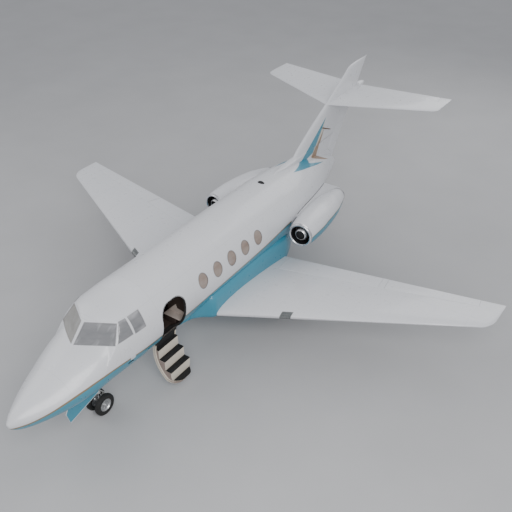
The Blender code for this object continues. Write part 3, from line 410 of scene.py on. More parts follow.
# black for rubber seals, and for painted shadow along the pylon tops
SEAL_AND_SHADE = matte("rubber_seal_and_shade", (0.022, 0.021, 0.020), 0.7, 120.0, 0.0004)
GASKET = matte("grey_gasket", (0.20, 0.19, 0.185), 0.6, 120.0, 0.0004)
GREY_SEAL = matte("screen_frame", (0.34, 0.34, 0.35), 0.5, 120.0, 0.0003)
LINING = matte("brown_lining", (0.040, 0.025, 0.020), 0.8, 45.0, 0.0015, 0.5)
CARPET = matte("brown_carpet", (0.050, 0.032, 0.025), 0.95, 260.0, 0.003, 0.6)
TREAD = matte("black_tread", (0.010, 0.010, 0.010), 0.8, 180.0, 0.002, 0.4)
LEATHER = leather("beige_leather", (0.33, 0.27, 0.23))
CREAM_LEATHER = leather("cream_leather", (0.50, 0.45, 0.38))
PANEL_BLACK = matte("panel_black", (0.018, 0.018, 0.019), 0.5, 80.0, 0.0006)
SCREEN_GLASS = glazing("screen_glass", (0.23, 0.235, 0.245), (0.30, 0.30, 0.31), 0.30, 0.55)
CLEAR_GLASS = glazing("clear_glass", (0.50, 0.49, 0.46), (0.48, 0.47, 0.45), 0.50, 0.30)
WINDOW_GLASS = glazing("window_glass", (0.32, 0.235, 0.19), (0.40, 0.33, 0.285), 0.28, 0.18)
LAMP_GLASS = glazing("lamp_glass", (0.12, 0.13, 0.13), (0.20, 0.21, 0.21), 0.35, 0.1)
TAXI_LAMP = lamp("lamp_clear", (0.5, 0.5, 0.5))
BRONZE = metal("bronze_metal", (0.24, 0.15, 0.09), 0.4)


# Mesh helpers

TINY = 1e-6


def settle(made, body, replaces=()):
    """Says which body an object rides on and hides the solids it stands for."""
    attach(made, body)
    if replaces:
        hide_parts(*replaces)


def piece(bm, name, materials, body="airframe", replaces=(), angle=35.0):
    """Makes the object of a bmesh, in the shared frame, and lets it ride on its body."""
    bmesh.ops.recalc_face_normals(bm, faces=bm.faces)
    mesh = bpy.data.meshes.new(name)
    bm.to_mesh(mesh)
    bm.free()
    made = bpy.data.objects.new(name, mesh)
    bpy.context.scene.collection.objects.link(made)
    for material in materials if isinstance(materials, (list, tuple)) else [materials]:
        mesh.materials.append(material)
    mesh.shade_smooth()
    mesh.set_sharp_from_angle(angle=math.radians(angle))
    if body:
        settle(made, body, replaces)
    return made


def circle(centre, across, up, radius, count, start=0.0):
    """Points around a circle in the plane of two unit vectors; start is a share of one step."""
    turns = (2 * math.pi * (i + start) / count for i in range(count))
    return [centre + across * math.cos(a) * radius + up * math.sin(a) * radius for a in turns]


def band(bm, first, second):
    """Quads between two closed loops of vertices."""
    for i in range(len(first)):
        j = (i + 1) % len(first)
        bm.faces.new((first[i], first[j], second[j], second[i]))


def cone(bm, loop, tip):
    """Triangles between a closed loop of vertices and one vertex."""
    for i in range(len(loop)):
        bm.faces.new((loop[i], loop[(i + 1) % len(loop)], tip))


def loft(rings, bm=None, closed=False):
    """Skin through like rings; closed joins the last ring to the first one, else both ends are capped."""
    bm = bm or bmesh.new()
    loops = [[bm.verts.new(p) for p in ring] for ring in rings]
    for first, second in zip(loops, loops[1:]):
        band(bm, first, second)
    if closed:
        band(bm, loops[-1], loops[0])
    else:
        bm.faces.new(loops[0])
        bm.faces.new(loops[-1])
    return bm


def lathe(profile, origin, axis, sides=48, bm=None):
    """Turned form through (distance, radius) points; it is closed at the ends where they reach the axis."""
    bm = bm or bmesh.new()
    basis = axis.to_track_quat("Z", "Y").to_matrix()
    across, up = basis @ ACROSS, basis @ AFT
    rings = []
    for h, r in profile:
        centre = origin + axis * h
        spots = circle(centre, across, up, r, sides, 0.5) if r > TINY else [centre]
        rings.append([bm.verts.new(p) for p in spots])
    if len(rings[0]) > 1 and len(rings[-1]) > 1:
        rings.append(rings[0])
    for first, second in zip(rings, rings[1:]):
        for i in range(sides):
            j = (i + 1) % sides
            corners = [first[i % len(first)], first[j % len(first)],
                       second[j % len(second)], second[i % len(second)]]
            bm.faces.new(list(dict.fromkeys(corners)))
    return bm


def prism(outline, shift, bm=None):
    """Closed solid between an outline and the same outline moved by shift."""
    bm = bm or bmesh.new()
    low = [bm.verts.new(p) for p in outline]
    high = [bm.verts.new(p + shift) for p in outline]
    bm.faces.new(low)
    bm.faces.new(high)
    band(bm, low, high)
    return bm


def soften(bm, edges, width, segments=2, profile=0.0):
    """Bevels some edges of a bmesh."""
    bmesh.ops.bevel(bm, geom=list(edges), offset=width, segments=segments, affect="EDGES", profile=profile)


def box(bm, matrix, bevel, segments=3, profile=0.5):
    """Unit cube under a matrix, its edges bevelled."""
    made = bmesh.ops.create_cube(bm, size=1.0, matrix=matrix)
    if bevel:
        soften(bm, {e for v in made["verts"] for e in v.link_edges}, bevel, segments, profile)


def block(low, high, bm=None, bevel=0.0):
    """Upright block between two (x, s, z) corners, its edges rounded."""
    bm = bm or bmesh.new()
    near, far = at(*low), at(*high)
    box(bm, Matrix.Translation((near + far) / 2) @ Matrix.Diagonal((far - near).to_4d()), bevel)
    return bm


def rod(start, end, radius, bm=None, sides=24):
    """Round bar between two points."""
    axis = end - start
    profile = [(0, 0), (0, radius), (axis.length, radius), (axis.length, 0)]
    return lathe(profile, start, axis.normalized(), sides, bm)


def tube(points, radius, sides=10, bm=None):
    """Round bead along a line of points."""
    rings = []
    side = None
    for i, point in enumerate(points):
        along = (points[min(i + 1, len(points) - 1)] - points[max(i - 1, 0)]).normalized()
        if side is None:
            side = along.orthogonal().normalized()
        side = (side - along * side.dot(along)).normalized()
        rings.append(circle(point, side, along.cross(side), radius, sides))
    return loft(rings, bm)


def carve(target, cutters, operation="DIFFERENCE"):
    """Cuts one bmesh of separate closed solids out of an object."""
    bmesh.ops.recalc_face_normals(cutters, faces=cutters.faces)
    mesh = bpy.data.meshes.new("cutter")
    cutters.to_mesh(mesh)
    cutters.free()
    tool = bpy.data.objects.new("cutter", mesh)
    bpy.context.scene.collection.objects.link(tool)
    step = target.modifiers.new("carve", "BOOLEAN")
    step.operation = operation
    step.object = tool
    step.solver = "EXACT"
    bpy.context.view_layer.update()
    made = bpy.data.meshes.new_from_object(target.evaluated_get(bpy.context.evaluated_depsgraph_get()))
    target.modifiers.clear()
    for index, material in enumerate(target.data.materials):
        if index < len(made.materials):
            made.materials[index] = material
        else:
            made.materials.append(material)
    target.data = made
    bpy.data.objects.remove(tool)


def keep_inside(target, room):
    """Keeps only what lies inside a closed bmesh."""
    carve(target, room, "INTERSECT")


class Form:
    """Uncut surface whose smooth normals a carved piece takes."""

    def __init__(self, bm):
        bmesh.ops.recalc_face_normals(bm, faces=bm.faces)
        self.mesh = bpy.data.meshes.new("form")
        bm.to_mesh(self.mesh)
        self.mesh.shade_smooth()
        self.mesh.set_sharp_from_angle(angle=math.radians(30.0))
        self.normals = [Vector(n.vector) for n in self.mesh.corner_normals]
        self.points = [v.co.copy() for v in self.mesh.vertices]
        self.faces = [tuple(p.vertices) for p in self.mesh.polygons]
        self.starts = [p.loop_start for p in self.mesh.polygons]
        self.tree = BVHTree.FromPolygons(self.points, self.faces)

    def nearest(self, point):
        """Smooth normal, face normal and distance at the surface point nearest to a point."""
        _, flat, face, distance = self.tree.find_nearest(point)
        weights = poly_3d_calc([self.points[i] for i in self.faces[face]], point)
        total = Vector()
        for k, weight in enumerate(weights):
            total += self.normals[self.starts[face] + k] * weight
        return (total.normalized() if total.length > 0.1 else flat), flat, distance

    def normal(self, point):
        """Smooth normal at the surface point nearest to a point."""
        return self.nearest(point)[0]

    def hit(self, origin, direction):
        """Where a ray meets the surface."""
        return self.tree.ray_cast(origin, direction)[0]


def shade(made, form, reach, inner=0.0, choose=None):
    """Custom normals: the form's on its surface, the face's own elsewhere. choose gives each face a slot."""
    mesh = made.data
    normals = [UP] * len(mesh.loops)
    for face in mesh.polygons:
        face.use_smooth = True
        _, flat, distance = form.nearest(face.center)
        kind = "wall"
        if distance < reach and flat.dot(face.normal) > 0.7:
            kind = "outer"
        elif inner and distance > inner * 0.7 and flat.dot(face.normal) < -0.75:
            kind = "inner"
        for k in face.loop_indices:
            own = face.normal
            if kind != "wall":
                found = form.normal(mesh.vertices[mesh.loops[k].vertex_index].co)
                own = found if kind == "outer" else -found
                if own.dot(face.normal) < 0.5:
                    own = face.normal
            normals[k] = own.copy()
        if choose:
            face.material_index = choose(kind, face)
    mesh.normals_split_custom_set(normals)


def grid_patch(spots, thick, outward, name, material, body="airframe", replaces=()):
    """Thin curved plate over a grid of points."""
    bm = bmesh.new()
    rows = [[bm.verts.new(p) for p in row] for row in spots]
    backs = [[bm.verts.new(p - outward(p) * thick) for p in row] for row in spots]
    high, wide = len(rows) - 1, len(rows[0]) - 1
    for i in range(high):
        for j in range(wide):
            bm.faces.new((rows[i][j], rows[i][j + 1], rows[i + 1][j + 1], rows[i + 1][j]))
            bm.faces.new((backs[i][j], backs[i + 1][j], backs[i + 1][j + 1], backs[i][j + 1]))
    rim = [(0, j) for j in range(wide)] + [(i, wide) for i in range(high)]
    rim += [(high, j) for j in range(wide, 0, -1)] + [(i, 0) for i in range(high, 0, -1)]
    for (a, b), (c, d) in zip(rim, rim[1:] + rim[:1]):
        bm.faces.new((rows[a][b], backs[a][b], backs[c][d], rows[c][d]))
    return piece(bm, name, material, body, replaces)


CUSHION_PULL = 0.035
CHANNEL_DEPTH, CHANNEL_HALF = 0.010, 0.012


def cushion(low, high, name, material, crown=(0, 0, 0.02), radius=0.05, channels=0, cuts=11, lean=None):
    """Crowned cushion between two (x, s, z) corners: rounded sides that pull in, sewn channels."""
    near, far = at(*low), at(*high)
    half, centre = (far - near) / 2, (far + near) / 2
    push = Vector(crown)
    lead = max(range(3), key=lambda k: abs(push[k]))
    others = [k for k in range(3) if k != lead]
    bm = bmesh.new()
    bmesh.ops.create_cube(bm, size=2.0)
    bmesh.ops.subdivide_edges(bm, edges=bm.edges, cuts=cuts, use_grid_fill=True)
    for v in bm.verts:
        q = v.co.copy()
        spot = Vector([q[k] * half[k] for k in range(3)])
        core = Vector([max(radius - half[k], min(half[k] - radius, spot[k])) for k in range(3)])
        reach = spot - core
        if reach.length > 1e-9:
            spot = core + reach.normalized() * min(radius, reach.length * 2)
        flat = (1 - q[others[0]] ** 2) * (1 - q[others[1]] ** 2)
        crowned = q[lead] * push[lead] > 0
        spot += push * flat * (1.0 if crowned else -0.25)
        pull = CUSHION_PULL * (1 - q[lead] ** 2)
        for k, other in zip(others, reversed(others)):
            spot[k] *= 1 - pull * (1 - q[other] ** 2)
        for c in range(channels if crowned else 0):
            place = (c + 1) / (channels + 1) * 2 - 1
            dip = CHANNEL_DEPTH * math.exp(-((q[0] - place) * half[0] / CHANNEL_HALF) ** 2)
            spot[lead] -= math.copysign(dip, push[lead]) * flat ** 0.3
        v.co = centre + spot
    if lean:
        point, angle = at(*lean[0]), math.radians(lean[1])
        bm.transform(Matrix.Translation(point) @ Matrix.Rotation(angle, 4, "X") @ Matrix.Translation(-point))
    made = piece(bm, name, material)


# Fuselage

# station, half width, top, bottom, widest height and roundness of the hull's sections
SECTIONS = [
    (0.000, 0.020, 0.020, -0.020, 0.000, 2.00), (0.040, 0.075, 0.077, -0.110, 0.004, 2.00),
    (0.150, 0.161, 0.160, -0.212, 0.012, 2.00), (0.400, 0.322, 0.273, -0.314, 0.035, 1.75),
    (0.800, 0.523, 0.417, -0.381, 0.080, 1.70), (1.250, 0.687, 0.577, -0.421, 0.135, 1.75),
    (1.600, 0.778, 0.698, -0.435, 0.185, 2.00), (1.950, 0.840, 0.795, -0.442, 0.250, 2.30),
    (2.360, 0.876, 1.200, -0.442, 0.335, 2.55), (2.800, 0.930, 1.320, -0.449, 0.420, 3.00),
    (3.300, 0.975, 1.406, -0.455, 0.490, 2.50), (3.780, 0.988, 1.521, -0.455, 0.533, 2.00),
    (9.300, 0.988, 1.521, -0.455, 0.533, 2.00), (10.000, 0.950, 1.505, -0.385, 0.550, 2.00),
    (10.800, 0.850, 1.450, -0.230, 0.580, 2.00), (11.600, 0.690, 1.340, -0.040, 0.610, 2.00),
    (12.400, 0.480, 1.160, 0.160, 0.630, 2.00), (13.000, 0.290, 0.930, 0.310, 0.600, 2.00),
    (13.400, 0.150, 0.700, 0.400, 0.540, 2.00), (13.540, 0.060, 0.530, 0.430, 0.480, 2.00),
]
SCREEN_FOOT, SCREEN_HEAD = (1.95, 0.795), (2.36, 1.200)
DECK_END = 2.95
CABIN_END = 9.30
HALF, BOTTOM, WAIST, ROUND = [Track([(math.sqrt(row[0]), row[k]) for row in SECTIONS]) for k in (1, 3, 4, 5)]
TOP_FORE = Track([(math.sqrt(row[0]), row[2]) for row in SECTIONS if row[0] <= SCREEN_FOOT[0]])
TOP_AFT = Track([(math.sqrt(row[0]), row[2]) for row in SECTIONS if row[0] >= SCREEN_HEAD[0]])
DECK = Track([(1.60, 0.698), (1.95, 0.795), (2.15, 0.855), (2.45, 1.000), (DECK_END, 1.200)])
SCREEN_POINT = (0.042, 1.956, 0.817)
SCREEN_NORMAL = (0.416, -0.634, 0.650)
# name, way outwards and (x, s, z) corners of each windscreen pane to port
PANES = [
    ("front", (0.30, -0.66, 0.69),
     [(0.040, 1.965, 0.806), (0.050, 2.349, 1.186), (0.655, 2.727, 1.167), (0.815, 2.450, 0.803)]),
    ("side_fore", (0.78, -0.34, 0.52),
     [(0.835, 2.524, 0.821), (0.656, 2.770, 1.183), (0.694, 2.942, 1.188), (0.905, 2.930, 0.853)]),
    ("side_aft", (0.84, -0.20, 0.50),
     [(0.914, 2.991, 0.832), (0.698, 3.003, 1.191), (0.724, 3.328, 1.197), (0.939, 3.311, 0.838)]),
]
CABIN_AXIS_Z = 0.533
WINDOWS = [5.40 + 0.593 * i for i in range(5)]
WINDOW_SIZE = (0.160, 0.200)
WINDOW_ANGLE = math.radians(17.5)
WINDOW_GAP = -0.001
# fore edge, aft edge, sill, top and corner radius of the doorway
DOOR = (3.835, 4.64, -0.298, 0.955, 0.30)
DOOR_CORNER_STEPS = 10
DOOR_HINGE = (0.563, -0.280)
DOOR_OPEN = math.radians(140.0)


def top_line(s):
    """Height of the hull's crown, straight along the windscreen."""
    if s <= SCREEN_FOOT[0]:
        return TOP_FORE(math.sqrt(s))
    if s >= SCREEN_HEAD[0]:
        return TOP_AFT(math.sqrt(s))
    return lerp(SCREEN_FOOT[1], SCREEN_HEAD[1], (s - SCREEN_FOOT[0]) / (SCREEN_HEAD[0] - SCREEN_FOOT[0]))


def hull_point(s, angle, inset):
    """Point of the hull's section, flattened where the windscreen lies."""
    root = math.sqrt(s)
    half, waist = HALF(root) - inset, WAIST(root)
    cosine, sine = math.cos(angle), math.sin(angle)
    if sine < 0:
        return at(cosine * half, s, waist + sine * (waist - BOTTOM(root) - inset))
    crown = top_line(s) - inset
    power = 2 / ROUND(root)
    x = math.copysign(abs(cosine) ** power, cosine) * half
    z = waist + abs(sine) ** power * (crown - waist)
    if SCREEN_FOOT[0] < s < DECK_END:
        deck = waist + (z - waist) * (DECK(s) - inset - waist) / (crown - waist)
        lean = SCREEN_NORMAL[0] * (abs(x) - SCREEN_POINT[0]) + SCREEN_NORMAL[1] * (s - SCREEN_POINT[1])
        pane = SCREEN_POINT[2] - (lean + inset) / SCREEN_NORMAL[2]
        z = min(z, max(pane, deck))
    return at(x, s, z)


def hull_ring(s, inset=0.0, around=128):
    """Section of the hull, or of a form inside it."""
    return [hull_point(s, 2 * math.pi * (i + 0.5) / around, inset) for i in range(around)]


def steps(*parts):
    """Stations from (start, end, step) parts, each once."""
    found = []
    for start, end, step in parts:
        count = max(1, round((end - start) / step))
        found += [start + (end - start) * i / count for i in range(count)]
    return found + [parts[-1][1]]


OUTER_STATIONS = [0.0, 0.008, 0.02, 0.04, 0.07, 0.11] + steps(
    (0.15, 0.8, 0.05), (0.8, 1.90, 0.06), (1.90, 2.98, 0.014), (2.98, 3.78, 0.05), (3.78, CABIN_END, 0.14),
    (CABIN_END, 13.40, 0.12), (13.40, 13.54, 0.035))
INNER_STATIONS = steps((1.33, 1.95, 0.10), (1.95, 3.0, 0.035), (3.0, 3.78, 0.12), (3.78, CABIN_END, 0.5))
HULL_FORM = Form(loft([hull_ring(s) for s in OUTER_STATIONS]))


def oval(s, side, grow=0.0, sides=36):
    """Rim of a cabin window, as points at the cabin's axis, with the way outwards."""
    radial = Vector((math.cos(WINDOW_ANGLE) * side, 0, math.sin(WINDOW_ANGLE)))
    up = Vector((-radial.z * side, 0, abs(radial.x)))
    turns = (2 * math.pi * (i + 0.5) / sides for i in range(sides))
    rim = [at(0, s, CABIN_AXIS_Z) + AFT * math.cos(turn) * (WINDOW_SIZE[0] + grow)
           + up * math.sin(turn) * (WINDOW_SIZE[1] + grow) for turn in turns]
    return rim, radial


def door_outline(inset=0.0, sill=DOOR[2]):
    """Rounded outline of the doorway in (s, z)."""
    fore, aft, _, top, radius = DOOR
    top -= inset
    points = [(fore + inset, sill), (aft - inset, sill)]
    for centre, start in ((aft - inset - radius, 0), (fore + inset + radius, 90)):
        for i in range(DOOR_CORNER_STEPS + 1):
            turn = math.radians(start + 90 * i / DOOR_CORNER_STEPS)
            points.append((centre + radius * math.cos(turn), top - radius + radius * math.sin(turn)))
    return points


def door_prism(inset, sill, start, depth):
    """Solid through the doorway, from x start to start + depth."""
    return prism([at(start, s, z) for s, z in door_outline(inset, sill)], ACROSS * depth)


def pane_way(pane, side):
    """Way outwards from a windscreen pane."""
    x, y, z = pane[1]
    return Vector((x * side, y, z)).normalized()


def pane_spots(pane, side, grow=0.0, recess=0.0, across=8, down=6):
    """Grid of points of a windscreen pane on the skin."""
    along = pane_way(pane, side)
    spots = [at(x * side, s, z) for x, s, z in pane[2]]
    centre = sum(spots, Vector()) / 4
    spots = [p + (p - centre).normalized() * grow for p in spots]
    rows = []
    for i in range(down + 1):
        left, right = spots[0].lerp(spots[1], i / down), spots[3].lerp(spots[2], i / down)
        row = []
        for j in range(across + 1):
            spot = left.lerp(right, j / across)
            row.append((HULL_FORM.hit(spot + along * 0.15, -along) or spot) - along * recess)
        rows.append(row)
    return rows


def skin_slot(kind, face):
    """Enamel outside, lining inside, and the edges of the doorway and the panes."""
    enamel, lining, cream, dark = range(4)
    if kind != "wall":
        return enamel if kind == "outer" else lining
    centre = face.center
    s, z = centre.y - NOSE_Y, centre.z - NOSE_HEIGHT
    if centre.x > 0.5 and DOOR[0] - 0.02 < s < DOOR[1] + 0.02 and -0.4 < z < 1.0:
        if abs(face.normal.z) > 0.9:
            return dark
        fore_jamb = s < DOOR[0] + 0.03 and z < 0.66
        return cream if fore_jamb or z < -0.2 else dark
    return lining if z < 0 else cream


def build_skin():
    """Hull skin with its wall, cut for the panes, the windows, the doorway and the nose wheel bay."""
    outer = [hull_ring(s) for s in OUTER_STATIONS if s <= CABIN_END]
    inner = [hull_ring(s, WALL) for s in reversed(INNER_STATIONS)]
    skin = piece(loft(outer + inner), "fuselage_skin", [HULL, LINING, CREAM_PAINT, SEAL_AND_SHADE], None)
    for pane in PANES:
        for side, _ in SIDES:
            way = pane_way(pane, side)
            low, high = pane_spots(pane, side, 0.0, 0.0, 1, 1)
            carve(skin, prism([p - way * 0.16 for p in (low[0], high[0], high[1], low[1])], way * 0.40))
    tools = bmesh.new()
    for s in WINDOWS:
        for side, _ in SIDES:
            rim, radial = oval(s, side)
            prism([p + radial * 0.70 for p in rim], radial * 0.5, tools)
    carve(skin, tools)
    carve(skin, door_prism(0.0, DOOR[2], 0.30, 1.0))
    carve(skin, block((-0.235, 1.50, -0.60), (0.235, 2.66, -0.05)))
    shade(skin, HULL_FORM, 0.006, WALL, skin_slot)
    settle(skin, "airframe", ["nose_cone", "cockpit_section", "cabin_section"])

    tail = piece(loft([hull_ring(s) for s in OUTER_STATIONS if s >= CABIN_END]), "tail_skin", [HULL], None)
    shade(tail, HULL_FORM, 0.0008)
    settle(tail, "airframe", ["tail_section"])


def ring_strip(outer, inner, lift, name, material):
    """Flat ring between two closed lines on the skin, a little proud of it."""
    rows = []
    for line, height in ((outer, -0.002), (outer, lift), (inner, lift), (inner, -0.012)):
        rows.append([p + HULL_FORM.normal(p) * height for p in line])
    piece(loft(rows, closed=True), name, material)


def grid_rim(rows):
    """Closed line around a grid of points."""
    return rows[0] + [r[-1] for r in rows[1:]] + rows[-1][-2::-1] + [r[0] for r in rows[-2:0:-1]]


def build_screen(pane, side, word):
    """One windscreen pane in its frame."""
    way = pane_way(pane, side)
    glass = CLEAR_GLASS if pane[0] == "front" and side < 0 else SCREEN_GLASS
    first = pane[0] == "front" and side > 0
    grid_patch(pane_spots(pane, side, 0.002, 0.006), 0.007, lambda p: way, f"screen_{pane[0]}_{word}", glass,
               replaces=["windscreen_glass"] if first else ())
    outer, inner = (grid_rim(pane_spots(pane, side, grow)) for grow in (0.012, -0.003))
    ring_strip(outer, inner, 0.0025, f"screen_frame_{pane[0]}_{word}", GREY_SEAL)


def build_window(index, s, side, word):
    """One cabin window: a domed pane inside a gasket."""
    lines = []
    for grow in (0.010, -0.004):
        rim, radial = oval(s, side, grow)
        lines.append([HULL_FORM.hit(p + radial * 0.6, radial) for p in rim])
    ring_strip(*lines, 0.003, f"window_gasket_{word}_{index}", GASKET)

    rim, radial = oval(s, side, WINDOW_GAP)
    centre = at(0, s, CABIN_AXIS_Z)
    bm = bmesh.new()
    rims = []
    for depth in (0.006, 0.012):
        rings = []
        for share in (1.0, 0.66, 0.33):
            spots = [HULL_FORM.hit(centre + (p - centre) * share + radial * 0.6, radial) for p in rim]
            rings.append([bm.verts.new(p - radial * depth) for p in spots])
        middle = bm.verts.new(HULL_FORM.hit(centre + radial * 0.6, radial) - radial * depth)
        for first, second in zip(rings, rings[1:]):
            band(bm, first, second)
        cone(bm, rings[-1], middle)
        rims.append(rings[0])
    band(bm, *rims)
    swap = [f"cabin_windows_{word}"] if index == 0 else ()
    piece(bm, f"window_{word}_{index}", WINDOW_GLASS, "airframe", swap)


def build_glass():
    """Windscreen panes and cabin windows on both sides."""
    for pane in PANES:
        for side, word in SIDES:
            build_screen(pane, side, word)
    for side, word in SIDES:
        for index, s in enumerate(WINDOWS):
            build_window(index, s, side, word)


# Airstair door

STEP_COUNT = 4
STEP_START, STEP_TOP, STEP_DEPTH, STEP_RISE, STEP_WIDTH = 0.500, -0.470, 0.175, 0.275, 0.725


def door_turn():
    """Matrix that takes a form from its place on the closed door to its place on the open one."""
    pivot = at(DOOR_HINGE[0], DOOR[0], DOOR_HINGE[1])
    return Matrix.Translation(pivot) @ Matrix.Rotation(DOOR_OPEN, 4, "Y") @ Matrix.Translation(-pivot)


def door_paint():
    """The hull's bands on the open door, whose skin is turned about the hinge line."""
    look = Look("door_enamel", WHITE, 0.3, 0.0, 0.3)
    hinge_x, hinge_z = DOOR_HINGE[0], DOOR_HINGE[1] + NOSE_HEIGHT
    dx = look.math("SUBTRACT", look.x, hinge_x)
    dz = look.math("SUBTRACT", look.z, hinge_z)
    closed_z = look.math("MULTIPLY_ADD", dz, math.cos(-DOOR_OPEN),
                         look.math("MULTIPLY_ADD", dx, -math.sin(-DOOR_OPEN), DOOR_HINGE[1]))
    gloss_paint(look, livery_bands(look, closed_z, 0.205), [])
    return look.material


def clip_to_door(made, margin):
    """Keeps of a step only what lies over the open door's inner face, inside its rounded edge."""
    room = loft([hull_ring(s, WALL + 0.002, 96) for s in (DOOR[0] - 0.05, DOOR[1] + 0.05)])
    for tool in (room, door_prism(margin, -0.9, -0.60, 2.0)):
        tool.transform(door_turn())
        keep_inside(made, tool)


def skin_path(outline):
    """Points of a doorway outline on the skin, at even steps from sill to sill."""
    path = outline[1:] + outline[:1]
    dense = []
    for (s0, z0), (s1, z1) in zip(path, path[1:]):
        count = max(1, int(math.hypot(s1 - s0, z1 - z0) / 0.04))
        dense += [(lerp(s0, s1, i / count), lerp(z0, z1, i / count)) for i in range(count)]
    dense.append(path[-1])
    return [HULL_FORM.hit(at(0.2, s, z), ACROSS) for s, z in dense]


def build_door_skin():
    """Door skin, made closed and turned open; treaded matting on the upper part of its inner face."""
    stations = steps((DOOR[0] - 0.02, DOOR[1] + 0.02, 0.04))
    rings = [hull_ring(s, 0.0, 96) for s in stations] + [hull_ring(s, WALL, 96) for s in reversed(stations)]
    materials = [door_paint(), BEIGE_PANEL, CREAM_PAINT, TREAD]
    skin = piece(loft(rings, closed=True), "airstair_skin", materials, None)
    keep_inside(skin, door_prism(0.006, DOOR_HINGE[1] + 0.002, 0.30, 1.0))
    matting_top = NOSE_HEIGHT - 0.07

    def choose(kind, face):
        if kind == "inner":
            return 3 if face.center.z < matting_top else 1
        return 0 if kind == "outer" else 2
    shade(skin, HULL_FORM, 0.0015, WALL, choose)
    normals = [Vector(n.vector) for n in skin.data.corner_normals]
    skin.data.transform(door_turn())
    spin = door_turn().to_3x3()
    skin.data.normals_split_custom_set([spin @ n for n in normals])
    settle(skin, "airstair", ["airstair_door"])


def build_steps():
    """Treads and risers between two cheeks, on the open door's inner face."""
    middle = (DOOR[0] + DOOR[1]) / 2
    near, far = middle - STEP_WIDTH / 2, middle + STEP_WIDTH / 2
    back = STEP_START - 0.22
    profile = [(back, STEP_TOP)]
    for k in range(STEP_COUNT):
        front, level = STEP_START + STEP_DEPTH * (k + 1), STEP_TOP - STEP_RISE * k
        profile += [(front, level), (front, level - STEP_RISE)]
    profile.append((back, STEP_TOP - STEP_RISE * STEP_COUNT))
    stair = piece(prism([at(x, near, z) for x, z in profile], AFT * STEP_WIDTH), "airstair_flight",
                  [CREAM_PAINT, BEIGE_PANEL], None)
    clip_to_door(stair, 0.034)
    for face in stair.data.polygons:
        face.use_smooth = False
        way = face.normal
        face.material_index = 1 if abs(way.y) > 0.7 or way.z < -0.3 or way.x < -0.3 else 0
    settle(stair, "airstair", ["airstair_steps"])
    for k in range(STEP_COUNT):
        level = STEP_TOP - STEP_RISE * k
        start = STEP_START + STEP_DEPTH * k + (0.004 if k else -0.13)
        front = STEP_START + STEP_DEPTH * (k + 1) + 0.006
        bm = block((start, near + 0.003, level - 0.004), (front, far - 0.003, level + 0.010))
        for r in range(9):
            x = lerp(start + 0.02, front - 0.018, r / 8)
            block((x - 0.0035, near + 0.02, level + 0.0105), (x + 0.0035, far - 0.02, level + 0.0135), bm)
        tread = piece(bm, f"step_tread_{k}", TREAD, None)
        clip_to_door(tread, 0.040)
        settle(tread, "airstair", ())


def build_airstair():
    """The open door with its rim, steps and hinge, and the doorway's sill and seal."""
    build_door_skin()
    rim = skin_path(door_outline(0.036, DOOR_HINGE[1] + 0.02))
    bm = tube([p - HULL_FORM.normal(p) * (WALL - 0.004) for p in rim], 0.021, 10)
    bm.transform(door_turn())
    piece(bm, "airstair_rim", CREAM_PAINT, "airstair")
    build_steps()
    fore, aft = DOOR[:2]
    hinge = [at(DOOR_HINGE[0], s, DOOR_HINGE[1]) for s in (fore + 0.02, aft - 0.02)]
    piece(rod(*hinge, 0.0125), "airstair_hinge", STEEL, "airstair")
    bm = block((0.572, fore + 0.012, -0.302), (0.600, aft - 0.012, -0.292), None, 0.003)
    piece(bm, "door_sill", CREAM_PAINT)
    seal = [p - HULL_FORM.normal(p) * 0.004 for p in skin_path(door_outline(-0.008))]
    piece(tube(seal, 0.008, 8), "doorway_seal", SEAL_AND_SHADE)


# Interior

CABIN_FLOOR = -0.2597
SEAT_ROWS = {"port": (4.95, 5.85, 6.75, 7.65), "starboard": (4.45, 5.35, 6.25, 7.15, 8.05)}
RECLINE = -6


def build_panel():
    """Instrument panel with a hood, screens and a pedestal, and the two control yokes."""
    bm = block((-0.64, 2.31, 0.32), (0.64, 2.40, 0.68), None, 0.02)
    block((-0.15, 2.40, 0.022), (0.15, 2.84, 0.30), bm, 0.02)
    block((-0.66, 2.30, 0.66), (0.66, 2.46, 0.70), bm, 0.015)
    piece(bm, "instrument_board", PANEL_BLACK, "airframe", ["instrument_panel"])
    bm = bmesh.new()
    for side in (-1, 1):
        for k in range(2):
            x = side * (0.24 + 0.22 * k)
            block((x - 0.085, 2.398, 0.44), (x + 0.085, 2.408, 0.60), bm, 0.003)
    piece(bm, "panel_screens", SCREEN_GLASS)
    bm = bmesh.new()
    for side in (-1, 1):
        x = side * 0.38
        turns = (math.radians(d) for d in range(40, 321, 20))
        tube([at(x + 0.13 * math.sin(a), 2.62, 0.52 + 0.09 * math.cos(a)) for a in turns], 0.012, 8, bm)
        rod(at(x, 2.41, 0.46), at(x, 2.62, 0.47), 0.016, bm, 12)
    piece(bm, "control_yokes", PANEL_BLACK)


def build_crew_seats():
    """Two crew seats on one base."""
    shells = bmesh.new()
    block((-0.56, 3.02, 0.021), (0.56, 3.50, 0.06), shells, 0.01)
    for side, word in SIDES:
        near, far = sorted((side * 0.19, side * 0.60))
        block((near + 0.02, 3.04, 0.06), (far - 0.02, 3.44, 0.22), shells, 0.02)
        block((near + 0.02, 3.44, 0.22), (far - 0.02, 3.50, 0.88), shells, 0.02)
        cushion((near, 3.00, 0.22), (far, 3.42, 0.36), f"crew_cushion_{word}", CREAM_LEATHER, channels=2)
        cushion((near + 0.01, 3.37, 0.34), (far - 0.01, 3.46, 0.80), f"crew_back_{word}", CREAM_LEATHER,
                (0, -0.02, 0), 0.04, 2)
        cushion((near + 0.08, 3.38, 0.80), (far - 0.08, 3.46, 0.92), f"crew_headrest_{word}", CREAM_LEATHER,
                (0, -0.01, 0), 0.035)
    piece(shells, "crew_seat_shells", BEIGE_PANEL, "airframe", ["crew_seats"])


